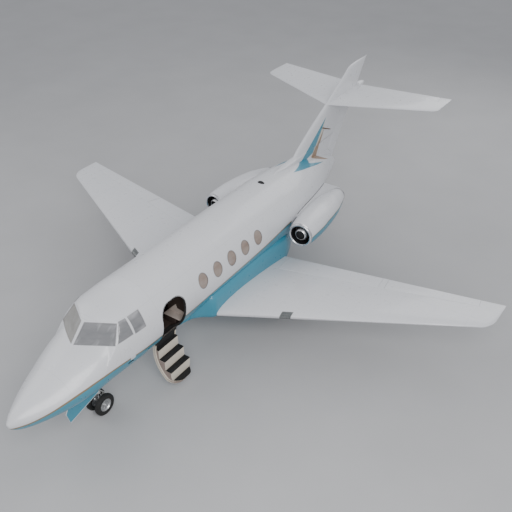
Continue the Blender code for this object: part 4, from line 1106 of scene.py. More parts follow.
def build_galley():
    """Cabinet with two doors opposite the doorway, and the low locker beside the doorway."""
    bm = block((-0.74, 3.87, -0.258), (-0.35, 4.35, 0.60), None, 0.012)
    for s in (3.92, 4.12):
        block((-0.345, s, -0.20), (-0.340, s + 0.18, 0.52), bm, 0.002)
    block((-0.76, 3.865, 0.595), (-0.335, 4.355, 0.618), bm, 0.006)
    piece(bm, "galley_unit", BEIGE_PANEL, "airframe", ["galley_cabinet"])

    bm = block((0.20, 4.676, -0.050), (0.73, 4.885, -0.025), None, 0.008)
    cheek = [(0.200, -0.030), (0.444, 0.229), (0.475, 0.110), (0.730, 0.078), (0.730, -0.030)]
    prism([at(x, 4.873, z) for x, z in cheek], AFT * 0.011, bm)
    # the locker top and its cheek take the lighter beige of painted light
    piece(bm, "locker_top", LOCKER_TOP_LIT)
    bm = block((0.22, 4.70, CABIN_FLOOR), (0.56, 4.88, -0.050), None, 0.006)
    block((0.16, 4.885, CABIN_FLOOR), (0.56, 4.897, 1.25), bm, 0.003)
    block((0.56, 4.885, -0.10), (0.72, 4.897, 1.10), bm, 0.003)
    piece(bm, "locker_front", LINING)


def cabin_seat(shells, side, word, index, front):
    """One cabin seat: its shell goes into the row's bmesh, its cushions are pieces."""
    near, far = sorted((side * 0.29, side * 0.45))
    inner, outer = sorted((side * 0.25, side * 0.70))
    block((near, front + 0.06, -0.22), (far, front + 0.50, -0.03), shells, 0.01)
    block((inner + 0.01, front + 0.02, -0.04), (outer - 0.01, front + 0.50, 0.03), shells, 0.015)
    back = ((0.58, 0.0), (0.545, 0.0), (0.60, 0.62), (0.66, 0.62))
    prism([at(inner + 0.012, front + s, z) for s, z in back], ACROSS * (outer - inner - 0.024), shells)
    arms = (inner + 0.025, outer - 0.025)
    for x in arms:
        block((x - 0.022, front + 0.10, 0.02), (x + 0.022, front + 0.50, 0.30), shells, 0.012)
    lean = ((0, front + 0.55, 0.1), RECLINE)
    cushion((inner + 0.05, front, 0.03), (outer - 0.05, front + 0.47, 0.16), f"seat_cushion_{word}_{index}",
            LEATHER, channels=2)
    cushion((inner + 0.05, front + 0.46, 0.14), (outer - 0.05, front + 0.56, 0.52),
            f"seat_back_{word}_{index}", LEATHER, (0, -0.02, 0), 0.045, 2, lean=lean)
    cushion((inner + 0.09, front + 0.47, 0.53), (outer - 0.09, front + 0.56, 0.65),
            f"seat_headrest_{word}_{index}", LEATHER, (0, -0.01, 0), 0.035, lean=lean)
    for x, label in zip(arms, "ab"):
        cushion((x - 0.026, front + 0.10, 0.285), (x + 0.026, front + 0.46, 0.325),
                f"armrest_{word}_{index}_{label}", LEATHER, (0, 0, 0.004), 0.015, 0, 5)


def build_interior():
    """Floors and bulkheads in their materials, then the fittings of cockpit and cabin."""
    for name, material in (("cabin_floor", CARPET), ("cockpit_floor", CARPET), ("cockpit_bulkhead", LINING),
                           ("aft_bulkhead", LINING)):
        NODES[name].data.materials[0] = material
    build_panel()
    build_crew_seats()
    build_galley()
    for side, word in SIDES:
        fronts = SEAT_ROWS[word]
        near, far = sorted((side * 0.29, side * 0.45))
        shells = block((near, fronts[0] - 0.05, CABIN_FLOOR), (far, fronts[-1] + 0.67, -0.21), None, 0.005)
        for index, front in enumerate(fronts):
            cabin_seat(shells, side, word, index, front)
        piece(shells, f"seat_shells_{word}", BEIGE_PANEL, "airframe", [f"cabin_seats_{word}"])


# Wings and tail

AIRFOIL_STEPS = 22
TRAILING = 0.004
# span position, share cut from the nose and share of the full thickness
WING_STATIONS = [(1.0003, 0.0, 1.0), (2.4, 0.0, 1.0), (3.9, 0.0, 1.0), (5.4, 0.0, 1.0), (6.9, 0.0, 1.0),
                 (6.99, 0.02, 0.95), (7.05, 0.055, 0.83), (7.10, 0.11, 0.66), (7.135, 0.17, 0.50),
                 (7.155, 0.24, 0.35), (7.165, 0.30, 0.22)]
TAIL_STATIONS = [(0.0, 0.0, 1.0), (1.4, 0.0, 1.0), (2.90, 0.0, 1.0), (2.96, 0.025, 0.90), (3.01, 0.06, 0.74),
                 (3.035, 0.10, 0.55), (3.05, 0.16, 0.33)]
LAMP_SPAN = {1: (2.47, 2.73), -1: (2.39, 2.65)}
# start and end along the span, hinge's share of the chord and cove gap
FLAP = (1.27, 4.05, 0.760, 0.009)
AILERON = (4.22, 6.60, 0.750, 0.007)
ELEVATOR = (0.25, 2.78, 0.690, 0.007)
RUDDER_HINGE = ((1.08, 0.62), (2.36, 0.53))
RUDDER_GAP = 0.007
COVE_LIP = 0.96
SLIP = 0.006
LEG_X, LEG_Y = 1.42, 8.10
LEG_SOCKET = 0.0553
FIN_FOOT, FIN_LEAN = 12.9254, 0.7144
FIN_TOP = 2.6366
FIN_EDGE = Track([(0.56, 9.85), (1.0, 9.75), (1.50, 9.90), (1.53, 9.96), (1.545, 10.36), (1.555, 10.94),
                  (1.69, 11.135), (1.826, 11.33), (2.025, 11.66), (2.372, 12.30), (FIN_TOP, 12.832)])
FIN_HALF = Track([(0.56, 0.115), (1.0, 0.115), (1.5, 0.105), (1.64, 0.103), (2.6364, 0.085)])
FIN_HEIGHTS = [0.56, 1.0, 1.4, 1.50, 1.53, 1.545, 1.555, 1.60, 1.69, 1.826, 2.025, 2.2, 2.4, 2.6364]
# height, leading edge, trailing edge and half thickness of the fin cap
CAP = [(2.6368, 12.832, 14.809, 0.085), (2.95, 13.36, 15.033, 0.075), (3.18, 13.80, 15.197, 0.062),
       (3.33, 14.04, 15.304, 0.050), (3.43, 14.19, 15.376, 0.036), (3.475, 14.42, 15.420, 0.022),
       (3.491, 14.62, 15.445, 0.008)]
CAP_HEIGHTS = [2.6368, 2.75, 2.86, 2.97, 3.08, 3.18, 3.26, 3.33, 3.38, 3.43, 3.455, 3.475, 3.485, 3.491]
BULLET_FORE, BULLET_LENGTH, BULLET_RADIUS = 14.90, 0.46, 0.105
# station, half width, top and bottom of the fairing between the wing roots
FAIRING = [(4.90, 0.52, -0.20, -0.46), (5.25, 0.60, -0.10, -0.50), (5.52, 0.74, 0.02, -0.56),
           (5.79, 0.9997, 0.12, -0.62), (6.30, 0.9997, 0.14, -0.78), (8.60, 0.9997, 0.18, -0.80),
           (9.07, 0.9997, 0.16, -0.76), (9.60, 0.84, 0.06, -0.62), (10.10, 0.55, -0.10, -0.40)]
# shares of the half width and of the height from top to bottom along the fairing's section
FAIRING_SHAPE = [(0.0, 0.0), (0.90, 0.00), (0.945, 0.05), (0.98, 0.14), (1.00, 0.28), (1.00, 0.52),
                 (1.00, 0.76), (0.975, 0.86), (0.93, 0.92), (0.85, 0.96), (0.70, 0.985), (0.45, 0.997),
                 (0.00, 1.00)]


def thickness(x):
    """Half thickness of a standard airfoil at a share of its chord, for a tenth of full depth."""
    return 0.2969 * math.sqrt(x) - 0.1260 * x - 0.3516 * x ** 2 + 0.2843 * x ** 3 - 0.1036 * x ** 4


def airfoil(half):
    """Closed section of unit chord from the trailing edge over the top and back below."""
    shares = [(1 - math.cos(math.pi * i / AIRFOIL_STEPS)) / 2 for i in range(AIRFOIL_STEPS + 1)]
    upper = [(x, half * 10 * thickness(x) + TRAILING / 2 * x) for x in reversed(shares)]
    return upper + [(x, -z) for x, z in reversed(upper[:-1])]


def tracks(table):
    """Smooth curve over the first column for each other column."""
    return [Track([(row[0], row[k]) for row in table]) for k in range(1, len(table[0]))]


class Surface:
    """Wing or tailplane half: straight edges, airfoil sections at span positions."""

    def __init__(self, leading, trailing, height, drop, depth, span):
        self.leading, self.trailing, self.height, self.drop = leading, trailing, height, drop
        self.depth, self.span = depth, span

    def edges(self, w):
        """Leading and trailing stations and their heights at a span position."""
        z = self.height[0] + self.height[1] * w
        return (self.leading[0] + self.leading[1] * w, self.trailing[0] + self.trailing[1] * w, z,
                z - self.drop * (1 - w / self.span))

    def half(self, w):
        """Half thickness as a share of the chord."""
        return lerp(*self.depth, w / self.span) / 2

    def half_at(self, w, share):
        """Half thickness at a share of the chord."""
        fore, aft, _, _ = self.edges(w)
        return self.half(w) * 10 * thickness(share) * (aft - fore)

    def on_chord(self, w, share, side):
        """Point on the chord line."""
        fore, aft, z_fore, z_aft = self.edges(w)
        return at(w * side, lerp(fore, aft, share), lerp(z_fore, z_aft, share))

    def on_skin(self, w, share, side, upper):
        """Point on the upper skin, or with upper -1 on the lower one."""
        return self.on_chord(w, share, side) + UP * upper * self.half_at(w, share)

    def ring(self, w, side, nose_cut, thin):
        """Section at a span position, for a rounded tip cut back at the nose and thinner."""
        fore, aft, z_fore, z_aft = self.edges(w)
        start, z_start = lerp(fore, aft, nose_cut), lerp(z_fore, z_aft, nose_cut)
        chord = aft - start
        return [at(w * side, start + x * chord, lerp(z_start, z_aft, x) + z * chord)
                for x, z in airfoil(self.half(w) * thin)]


WING_SURFACE = Surface((5.3225, 0.467), (8.9774, 0.101), (-0.5345, 0.0738), 0.037, (0.125, 0.105), 7.165)
TAIL_SURFACE = Surface((12.8828, 0.4474), (15.0162, 0.1348), (FIN_TOP, 0.0), 0.0, (0.068, 0.063), 3.05)


def hinged(ends, body, material, aft, up, gap, tails, radii, coves):
    """A control surface between two hinge points, its rounded nose on the hinge line; adds its cove."""
    along = (ends[1] - ends[0]).normalized()
    rings, cove_rings = [], []
    for point, radius, tail, push in zip(ends, radii, tails, (-SLIP, SLIP)):
        nose = [math.radians(90 + 11.25 * i) for i in range(17)]
        ring = [point + aft * math.cos(turn) * radius + up * math.sin(turn) * radius for turn in nose]
        rings.append([point + tail + up * TRAILING / 2] + ring + [point + tail - up * TRAILING / 2])
        wide = radius + gap
        lip = math.degrees(math.acos(COVE_LIP * radius / wide))
        centre = point + along * push
        reach = aft * (tail.length + 0.15)
        lift = up * (radius + 0.15)
        mouth = aft * math.cos(math.radians(90 + lip)) * wide
        cove = [centre + reach + lift, centre + mouth + lift]
        for i in range(13):
            turn = math.radians(lerp(90 + lip, 270 - lip, i / 12))
            cove.append(centre + aft * math.cos(turn) * wide + up * math.sin(turn) * wide)
        cove_rings.append(cove + [centre + mouth - lift, centre + reach - lift])
    loft(cove_rings, coves)
    bm = loft([[a.lerp(b, t) for a, b in zip(*rings)] for t in (0.0, 0.25, 0.5, 0.75, 1.0)])
    piece(bm, f"{body}_skin", material, body, [body], 30)


def control(surface, spec, side, body, coves):
    """Flap, aileron or elevator of a surface."""
    start, end, share, gap = spec
    first, last = surface.on_chord(start, share, side), surface.on_chord(end, share, side)
    along = (last - first).normalized()
    middle = (start + end) / 2
    edge = surface.on_chord(middle, 1.0, side) - surface.on_chord(middle, share, side)
    aft = (edge - along * edge.dot(along)).normalized()
    up = aft.cross(along) * side
    if up.z < 0:
        up = -up
    near, far = surface.on_chord(start, 1.0, side), surface.on_chord(end, 1.0, side)
    rear = (far - near) / (far - near).dot(along)
    tails = [near + rear * (p - near).dot(along) - p for p in (first, last)]
    radii = [surface.half_at(w, share) for w in (start, end)]
    hinged((first, last), body, WHITE_PAINT, aft, up, gap, tails, radii, coves)


def cut_coves(made, form, coves, node, axis=0, limit=0.8):
    """Carves the coves out of a surface; its end faces along an axis keep the paint, the cove walls are black
    painted shade.
    """
    carve(made, coves)
    shade(made, form, 0.0015, 0.0,
          lambda kind, face: 0 if kind == "outer" or abs(face.normal[axis]) > limit else 1)
    settle(made, "airframe", [node])


def build_wing(side, word):
    """One wing with its flap, aileron, jack pad, landing lamp and hinge fairings."""
    surface = WING_SURFACE
    rings = [surface.ring(w, side, nose, thin) for w, nose, thin in WING_STATIONS]
    # second slot: black painted shade on the cove walls
    wing = piece(loft(rings), f"wing_skin_{word}", [WING, SHADE_BLACK], None)
    coves = bmesh.new()
    control(surface, FLAP, side, f"flap_{word}", coves)
    control(surface, AILERON, side, f"aileron_{word}", coves)
    lathe([(0, 0), (0, LEG_SOCKET), (0.86, LEG_SOCKET), (0.86, 0)],
          at(LEG_X * side, LEG_Y, 0.289502 - NOSE_HEIGHT), UP, 32, coves)
    cut_coves(wing, Form(loft(rings)), coves, f"wing_{word}")

    z = WING_SURFACE.edges(2.2)[2]
    profile = [(z - 0.239, 0), (z - 0.239, 0.040), (z - 0.234, 0.047), (z - 0.20, 0.05), (z, 0.05), (z, 0)]
    piece(lathe(profile, at(2.2 * side, 7.05, 0), UP, 32), f"jack_pad_cap_{word}", STEEL)

    centre = surface.on_chord(2.60, 0.06, side)

    def outward(p):
        return Vector((0, p.y - centre.y - 0.02, p.z - centre.z)).normalized()
    spots = []
    for i in range(-6, 7):
        share = 0.055 * (i / 6) ** 2
        upper = 1 if i >= 0 else -1
        row = [surface.on_skin(lerp(*LAMP_SPAN[side], j / 4), share, side, upper) for j in range(5)]
        spots.append([p + outward(p) * 0.0035 for p in row])
    grid_patch(spots, 0.003, outward, f"lamp_cover_{word}", LAMP_GLASS)

    for w, reach in ((1.9, 0.30), (3.3, 0.28), (4.7, 0.22), (6.1, 0.20)):
        fore, aft, z_fore, z_aft = surface.edges(w)
        base = lerp(z_fore, z_aft, 0.66) - surface.half_at(w, 0.66) - 0.004
        profile = [(0, 0), (0.02, 0.012), (0.08, 0.022), (reach * 0.7, 0.020), (reach, 0.0)]
        bm = lathe(profile, at(w * side, lerp(fore, aft, 0.60), base), AFT, 20)
        piece(bm, f"hinge_fairing_{word}_{int(w * 10)}", WHITE_PAINT)


def build_fairing():
    """Teal fairing between the wing roots, cut to the hull."""
    curves = tracks(FAIRING)
    rings = []
    for s in steps((FAIRING[0][0], 5.9, 0.06), (5.9, 8.5, 0.3), (8.5, FAIRING[-1][0], 0.08)):
        half, top, bottom = (curve(s) for curve in curves)
        outline = [(half * across, lerp(top, bottom, down)) for across, down in FAIRING_SHAPE]
        rings.append([at(x, s, z) for x, z in outline] + [at(-x, s, z) for x, z in reversed(outline[1:-1])])
    fairing = piece(loft(rings), "wing_root_fairing", [TEAL_PAINT], None)
    carve(fairing, loft([hull_ring(s, -0.002, 96) for s in steps((3.9, 9.3, 0.3), (9.3, 11.0, 0.15))]))
    fairing.data.shade_smooth()
    fairing.data.set_sharp_from_angle(angle=math.radians(28))
    settle(fairing, "airframe", ["wing_fairing"])


def build_tailplane():
    """Tailplane in one piece across the fin, with its two elevators."""
    surface = TAIL_SURFACE
    halves = [(-w, nose, thin) for w, nose, thin in reversed(TAIL_STATIONS[1:])] + TAIL_STATIONS
    rings = [surface.ring(abs(w), math.copysign(1, w), nose, thin) for w, nose, thin in halves]
    # second slot: black painted shade on the cove walls
    plane = piece(loft(rings), "tailplane_skin", [WHITE_PAINT, SHADE_BLACK], None)
    coves = bmesh.new()
    for side, word in SIDES:
        control(surface, ELEVATOR, side, f"elevator_{word}", coves)
    cut_coves(plane, Form(loft(rings)), coves, "tailplane")


def fin_ring(z, fore, aft, half):
    """Level section of the fin."""
    return [at(y * (aft - fore), lerp(fore, aft, x), z) for x, y in airfoil(half / (aft - fore))]


def build_fin():
    """Fin with its rudder, the cap above the tailplane, the tail bullet and two aerial blades."""
    rings = [fin_ring(z, FIN_EDGE(z), FIN_FOOT + FIN_LEAN * z + 0.0006, FIN_HALF(z)) for z in FIN_HEIGHTS]
    # second slot: black painted shade on the cove walls
    fin = piece(loft(rings), "fin_skin", [TAIL, SHADE_BLACK], None)
    coves = bmesh.new()
    hinge = [at(0, FIN_FOOT + FIN_LEAN * z - chord, z) for z, chord in RUDDER_HINGE]
    along = (hinge[1] - hinge[0]).normalized()
    aft = Vector((0, along.z, -along.y))
    edge = Vector((0, FIN_LEAN, 1)).normalized()
    base = at(0, FIN_FOOT, 0)
    tails = [base + edge * ((p - base).dot(along) / edge.dot(along)) - p for p in hinge]
    hinged(hinge, "rudder", TAIL, aft, ACROSS, RUDDER_GAP, tails, (0.052, 0.042), coves)
    cut_coves(fin, Form(loft(rings)), coves, "fin", 2, 0.6)

    curves = tracks(CAP)
    rings = [fin_ring(z, *(curve(z) for curve in curves)) for z in CAP_HEIGHTS]
    piece(loft(rings), "fin_cap_skin", WHITE_PAINT, "airframe", ["fin_cap"], 30)
    profile = [(0, 0), (0, 0.10), (0.01, BULLET_RADIUS)]
    profile += [(BULLET_LENGTH * i / 16, BULLET_RADIUS * math.sqrt(1 - (i / 16) ** 2)) for i in range(1, 17)]
    piece(lathe(profile, at(0, BULLET_FORE, FIN_TOP), AFT, 32), "tail_bullet_skin", WHITE_PAINT,
          "airframe", ["tail_bullet"])

    wide, half_deep = AFT * 0.045, UP * 0.007
    for (side, word), material in zip(SIDES, (BRONZE, STEEL)):
        start, end = at(0.06 * side, 12.56, 2.00), at(0.322 * side, 12.64, 2.00)
        rim = [start - wide, start + wide, end + wide * 0.5, end - wide * 0.4]
        bm = prism([p - half_deep for p in rim], half_deep * 2)
        soften(bm, bm.edges, 0.003)
        piece(bm, f"aerial_blade_{word}", material)
        bm = lathe([(0, 0), (0, 0.03), (0.02, 0.022), (0.03, 0.0)], at(0.085 * side, 12.58, 2.00),
                   ACROSS * side, 20)
        piece(bm, f"aerial_root_{word}", material)


# Engines

TOE = 0.10
ENGINE_X, ENGINE_S, ENGINE_Z = 1.50, 9.00, 0.43
NACELLE_FORE, NACELLE_END = 9.075, 11.70
NACELLE_OUTER = Track([(9.06, 0.353), (9.12, 0.363), (9.20, 0.378), (9.35, 0.398), (9.50, 0.412),
                       (9.70, 0.426), (9.90, 0.430), (10.15, 0.430), (10.40, 0.422), (10.65, 0.406),
                       (10.90, 0.385), (11.10, 0.345), (11.35, 0.300), (11.55, 0.252), (11.70, 0.215)])
NACELLE_INNER = Track([(9.075, 0.281), (9.50, 0.345), (9.90, 0.380), (10.40, 0.380), (11.70, 0.190)])
# fore edge, aft edge, half thickness and height of the pylon
PYLON = (9.66, 11.90, 0.095, 0.545)


class Engine:
    """Axis of one engine, which toes in, and what lies around it."""

    def __init__(self, side, word):
        self.side, self.word = side, word
        self.aft = Vector((-TOE * side, 1, 0)).normalized()
        self.origin = at(ENGINE_X * side, ENGINE_S, ENGINE_Z) - self.aft * ENGINE_S
        self.basis = self.aft.to_track_quat("Z", "Y").to_matrix()

    def turned(self, profile, sides):
        """Turned form on the axis."""
        return lathe(profile, self.origin, self.aft, sides)

    def place(self, point):
        """Station and radius of a point."""
        reach = point - self.origin
        station = reach.dot(self.aft)
        return station, (reach - self.aft * station).length

    def spokes(self, count):
        """Way outward and way around, at even steps."""
        for k in range(count):
            turn = 2 * math.pi * k / count
            radial = self.basis @ Vector((math.cos(turn), math.sin(turn), 0))
            yield radial, self.aft.cross(radial)


def build_nacelle(engine):
    """Cowl whose duct inside is painted black as painted shade, and its polished intake lip."""
    profile = [(s, NACELLE_OUTER(s)) for s in steps((NACELLE_FORE, NACELLE_END, 0.075))]
    profile += [(s, NACELLE_INNER(s)) for s in reversed(steps((NACELLE_FORE, NACELLE_END, 0.16)))]
    name = f"nacelle_{engine.word}"
    materials = [NACELLE_PAINT, SHADE_BLACK]
    made = piece(engine.turned(profile, 72), f"nacelle_skin_{engine.word}", materials, None)
    # faces inside the duct take the black of painted shade
    for face in made.data.polygons:
        station, radius = engine.place(face.center)
        if radius < NACELLE_OUTER(station) - 0.012 and abs(face.normal.dot(engine.aft)) < 0.9:
            face.material_index = 1
    settle(made, "airframe", [name])
    turns = [math.radians(90 - 180 * i / 14) for i in range(15)]
    lip = [(9.036 - 0.035 * math.cos(a), 0.3175 + 0.0355 * math.sin(a)) for a in turns]
    lip = [(9.076, 0.3555), (9.055, 0.3535)] + lip + [(9.076, 0.2805), (9.076, 0.30)]
    piece(engine.turned(lip, 72), f"intake_lip_{engine.word}", LIP_METAL, angle=60)


def build_fan(engine):
    """Spinner with a bright cone and a nose well painted black as painted shade, and twisted blades."""
    fan = f"fan_{engine.word}"
    profile = [(9.10, 0), (9.10, 0.120), (9.042, 0.130), (9.032, 0.135), (9.034, 0.142), (9.07, 0.168),
               (9.11, 0.194), (9.16, 0.208), (9.22, 0.212), (9.30, 0.208), (9.40, 0.180), (9.40, 0)]
    materials = [HUB_METAL, SHADE_BLACK]
    spinner = piece(engine.turned(profile, 64), f"fan_spinner_{engine.word}", materials, None, angle=40)
    # the nose well takes the black of painted shade
    for face in spinner.data.polygons:
        if engine.place(face.center)[1] < 0.131:
            face.material_index = 1
    settle(spinner, fan, [fan])
    bm = bmesh.new()
    for radial, around in engine.spokes(22):
        rows = []
        for i in range(5):
            twist = math.radians(lerp(35, 62, i / 4))
            chord = (engine.aft * math.cos(twist) + around * math.sin(twist)) * 0.030
            facing = around * math.cos(twist) - engine.aft * math.sin(twist)
            centre = engine.origin + engine.aft * 9.33 + radial * lerp(0.195, 0.283, i / 4)
            rows.append([centre - chord, centre + facing * 0.004, centre + chord, centre - facing * 0.002])
        loft(rows, bm)
    piece(bm, f"fan_blades_{engine.word}", FAN_METAL, fan, angle=50)


def build_core(engine):
    """Engine block with stator vanes, nozzle ring and the latches below the cowl."""
    word, origin, aft = engine.word, engine.origin, engine.aft
    profile = [(9.455, 0), (9.455, 0.16), (9.46, 0.249), (9.95, 0.25), (9.95, 0.3797), (10.05, 0.3797),
               (10.05, 0.25), (10.88, 0.25), (11.0, 0.205), (11.14, 0.14), (11.25, 0.10), (11.25, 0)]
    piece(engine.turned(profile, 48), f"engine_core_form_{word}", DARK_METAL, "airframe",
          [f"engine_core_{word}"])
    bm = bmesh.new()
    vane = ((9.47, 0.245, 0.0), (9.47, 0.342, 0.0), (9.60, 0.352, 0.02), (9.60, 0.245, 0.02))
    for radial, around in engine.spokes(20):
        prism([origin + aft * s + radial * r + around * t for s, r, t in vane], around * 0.006, bm)
    piece(bm, f"stator_vanes_{word}", STEEL)
    profile = [(11.60, 0.240), (11.698, 0.2165), (11.702, 0.2155), (11.702, 0.188), (11.60, 0.2)]
    piece(engine.turned(profile, 72), f"nozzle_ring_{word}", STEEL)
    bm = bmesh.new()
    for s in (9.55, 9.95, 10.35, 10.75):
        spot = origin + aft * s - UP * (NACELLE_OUTER(s) + 0.0005)
        box(bm, Matrix.Translation(spot) @ Matrix.Diagonal((0.035, 0.07, 0.004, 1)), 0.0015, 2, 0.0)
    piece(bm, f"cowl_latches_{word}", STEEL)


def build_pylon(side, word):
    """Pylon between fuselage and nacelle, with a black bead of painted shadow along its top where it meets
    the hull.
    """
    start, end, half, z = PYLON
    rings = [[at(reach * side, lerp(start, end, u), z + v * (end - start))
              for u, v in airfoil(half / (end - start))] for reach in (0.40, 0.66, 0.92, 1.18)]
    piece(loft(rings), f"pylon_skin_{word}", WHITE_PAINT, "airframe", [f"pylon_{word}"], 30)
    line = []
    for u in steps((0.03, 0.97, 0.05)):
        level = z + 10 * half * thickness(u) + 0.006
        line.append(on_hull(lerp(start, end, u), level, side) + ACROSS * 0.004 * side)
    # black bead of painted shadow in the gap between pylon and hull
    piece(tube(line, 0.007, 8), f"pylon_gap_shadow_{word}", SEAL_AND_SHADE)


# Landing gear

# wheel tracks, widths and rim radii
NOSE_TRACK, NOSE_WIDTH, NOSE_RIM = 0.150, 0.125, 0.165
MAIN_TRACK, MAIN_WIDTH, MAIN_RIM = 0.150, 0.178, 0.150
NOSE_LEG_S = 2.430
# shares of the half width and of the height from rim to tread along a tyre's flank
TYRE_FLANK = [(0.80, 0.0), (0.97, 0.25), (1.0, 0.55), (0.86, 0.84), (0.60, 0.975), (0.30, 1.0)]
SOLID_SAG = math.cos(math.pi / 24)
HUB_HOLES = 8
HOLE_STEPS = 8


def tyre(name, centre, radius, width, rim, node, body, material):
    """Tyre with rounded shoulders."""
    flank = [(-width / 2 * across, lerp(rim, radius, up)) for across, up in TYRE_FLANK]
    profile = flank + [(-x, r) for x, r in reversed(flank)]
    piece(lathe(profile, centre, ACROSS, 40), name, material, body, [node], 50)


def hub(bm, centre, side, width, rim):
    """Cast hub: rim flanges, a dished web with round lightening holes, bolts and a dust cap."""
    half = width * 0.40
    web = half * 0.42 * side
    count = HUB_HOLES * HOLE_STEPS
    far, near = rim - 0.034, rim * 0.34
    face = centre + ACROSS * web

    def ring(x, r):
        return [bm.verts.new(p) for p in circle(centre + ACROSS * x, AFT, UP, r, count)]

    flange = [ring(half * side, rim - 0.0005), ring(half * side, rim - 0.014),
              ring(half * 0.82 * side, rim - 0.022), ring(web * 1.25, far)]
    for first, second in zip(flange, flange[1:]):
        band(bm, first, second)
    inner = ring(web, near)
    deep = ACROSS * -0.022 * side
    for hole in range(HUB_HOLES):
        turn = 2 * math.pi * (hole + 0.5) / HUB_HOLES
        radial = AFT * math.cos(turn) + UP * math.sin(turn)
        around = UP * math.cos(turn) - AFT * math.sin(turn)
        spot = face + radial * (far + near) / 2
        picks = [(hole * HOLE_STEPS + k) % count for k in range(HOLE_STEPS + 1)]
        sector = [flange[-1][i] for i in picks] + [inner[i] for i in reversed(picks)]
        angles = [math.atan2((v.co - spot).dot(around), (v.co - spot).dot(radial)) for v in sector]
        ways = [radial * math.cos(a) + around * math.sin(a) for a in angles]
        edge = [bm.verts.new(spot + way * (far - near) * 0.29) for way in ways]
        back = [bm.verts.new(v.co + deep) for v in edge]
        band(bm, sector, edge)
        band(bm, edge, back)
        bm.faces.new(back)
    for x, share in ((0.018, 0.92), (0.026, 0.6), (0.036, 0.52), (0.042, 0.3)):
        loop = ring(web + x * side, near * share)
        band(bm, inner, loop)
        inner = loop
    cone(bm, inner, bm.verts.new(face + ACROSS * 0.043 * side))
    for spot in circle(face, AFT, UP, near * 0.78, HUB_HOLES):
        rod(spot, spot + ACROSS * 0.026 * side, 0.008, bm, 6)


def wheels(name, centre, track, width, rim, body, node):
    """Two hubs with plain inner webs on one axle."""
    bm = bmesh.new()
    for sign in (-1, 1):
        middle = centre + ACROSS * track * sign
        hub(bm, middle, sign, width, rim)
        half = -sign * width * 0.40
        profile = [(0, 0), (0, rim - 0.0006), (half, rim - 0.0005), (half, rim - 0.02),
                   (half / 4, rim - 0.03), (half / 8, 0.05), (half, 0.045), (half, 0)]
        lathe(profile, middle, ACROSS, 48, bm)
    rod(centre - ACROSS * track, centre + ACROSS * track, 0.0255, bm, 24)
    piece(bm, name, HUB_METAL, body, [node], 32)


def scissor(bm, centre, half, points, radius):
    """Torque links through three (s, z) offsets from a wheel centre, pinned at the knee."""
    low, knee, high = (centre + AFT * s + UP * z for s, z in points)
    for shift in (ACROSS * -half, ACROSS * half):
        rod(low + shift, knee + shift, radius, bm, 12)
        rod(knee + shift, high + shift, radius, bm, 12)
    pin = ACROSS * (half + 0.01)
    rod(knee - pin, knee + pin, 0.012, bm, 12)


def build_nose_door(side, word):
    """Teal door panel with a light edge, and ribs and a link behind it."""
    x = 0.262 * side
    corners = [(1.50, -0.22), (1.245, -0.60), (1.325, -0.915), (2.23, -0.69), (2.24, -0.25)]
    rim = [at(x, s, z) for s, z in corners]
    bm = prism([p - ACROSS * 0.006 for p in rim], ACROSS * 0.012)
    piece(bm, f"nose_door_panel_{word}", TEAL_PAINT, "airframe", [f"nose_door_{word}"], 30)
    piece(tube(rim, 0.010, 8), f"nose_door_edge_{word}", WHITE_PAINT)
    bm = bmesh.new()
    behind = ACROSS * -0.010 * side
    for share in (0.3, 0.55, 0.8):
        top, bottom = rim[0].lerp(rim[4], share) + behind, rim[2].lerp(rim[3], share) + behind
        tube([top.lerp(bottom, 0.28), top.lerp(bottom, 0.95)], 0.007, 8, bm)
    rod(top.lerp(bottom, 0.4), at(0.10 * side, 2.1, -0.30), 0.008, bm, 10)
    piece(bm, f"nose_door_ribs_{word}", STRUT_PAINT)


def build_nose_leg(wheel):
    """Cylinder with collars and braces, taxi lamp, chromed slide, and axle with torque links."""
    length = 0.8995
    profile = [(0, 0.038), (0, 0.056), (0.02, 0.060), (0.06, 0.060), (0.075, 0.050), (0.42, 0.050),
               (0.44, 0.057), (0.50, 0.057), (0.52, 0.050), (length - 0.05, 0.050), (length, 0.055),
               (length, 0.038)]
    bm = lathe(profile, at(0, NOSE_LEG_S, -0.92), UP, 36)
    rod(at(0, 2.41, -0.80), at(0, 1.70, -0.05), 0.022, bm, 16)
    for x in (-1, 1):
        rod(at(0.05 * x, 2.42, -0.62), at(0.13 * x, 1.72, -0.06), 0.013, bm, 12)
    block((-0.16, 1.67, -0.08), (0.16, 1.73, -0.0203), bm, 0.006)
    piece(bm, "nose_leg_casting", STRUT_PAINT, "airframe", ["nose_leg"], 35)
    profile = [(0, 0), (0, 0.045), (0.03, 0.05), (0.055, 0.048), (0.06, 0.0)]
    piece(lathe(profile, at(0, 2.355, -0.62), -AFT, 28), "taxi_lamp", TAXI_LAMP)
    profile = [(-0.045, 0), (-0.045, 0.036), (0.0, 0.0375), (0.62, 0.0375), (0.62, 0)]
    piece(lathe(profile, wheel, UP, 32), "nose_oleo", CHROME, "nose_steering", ["nose_slide"])
    profile = [(-0.056, 0), (-0.056, 0.040), (-0.050, 0.045), (0.050, 0.045), (0.056, 0.040), (0.056, 0)]
    bm = lathe(profile, wheel, ACROSS, 32)
    level = wheel.z - NOSE_HEIGHT
    block((-0.030, 2.32, level - 0.03), (0.030, NOSE_LEG_S, level + 0.03), bm, 0.006)
    scissor(bm, wheel, 0.02, ((0.03, 0.05), (0.16, 0.19), (0.06, 0.33)), 0.010)
    lathe([(0.30, 0.038), (0.30, 0.050), (0.36, 0.050), (0.36, 0.038)], wheel, UP, 28, bm)
    piece(bm, "nose_torque_links", STRUT_PAINT, "nose_steering")


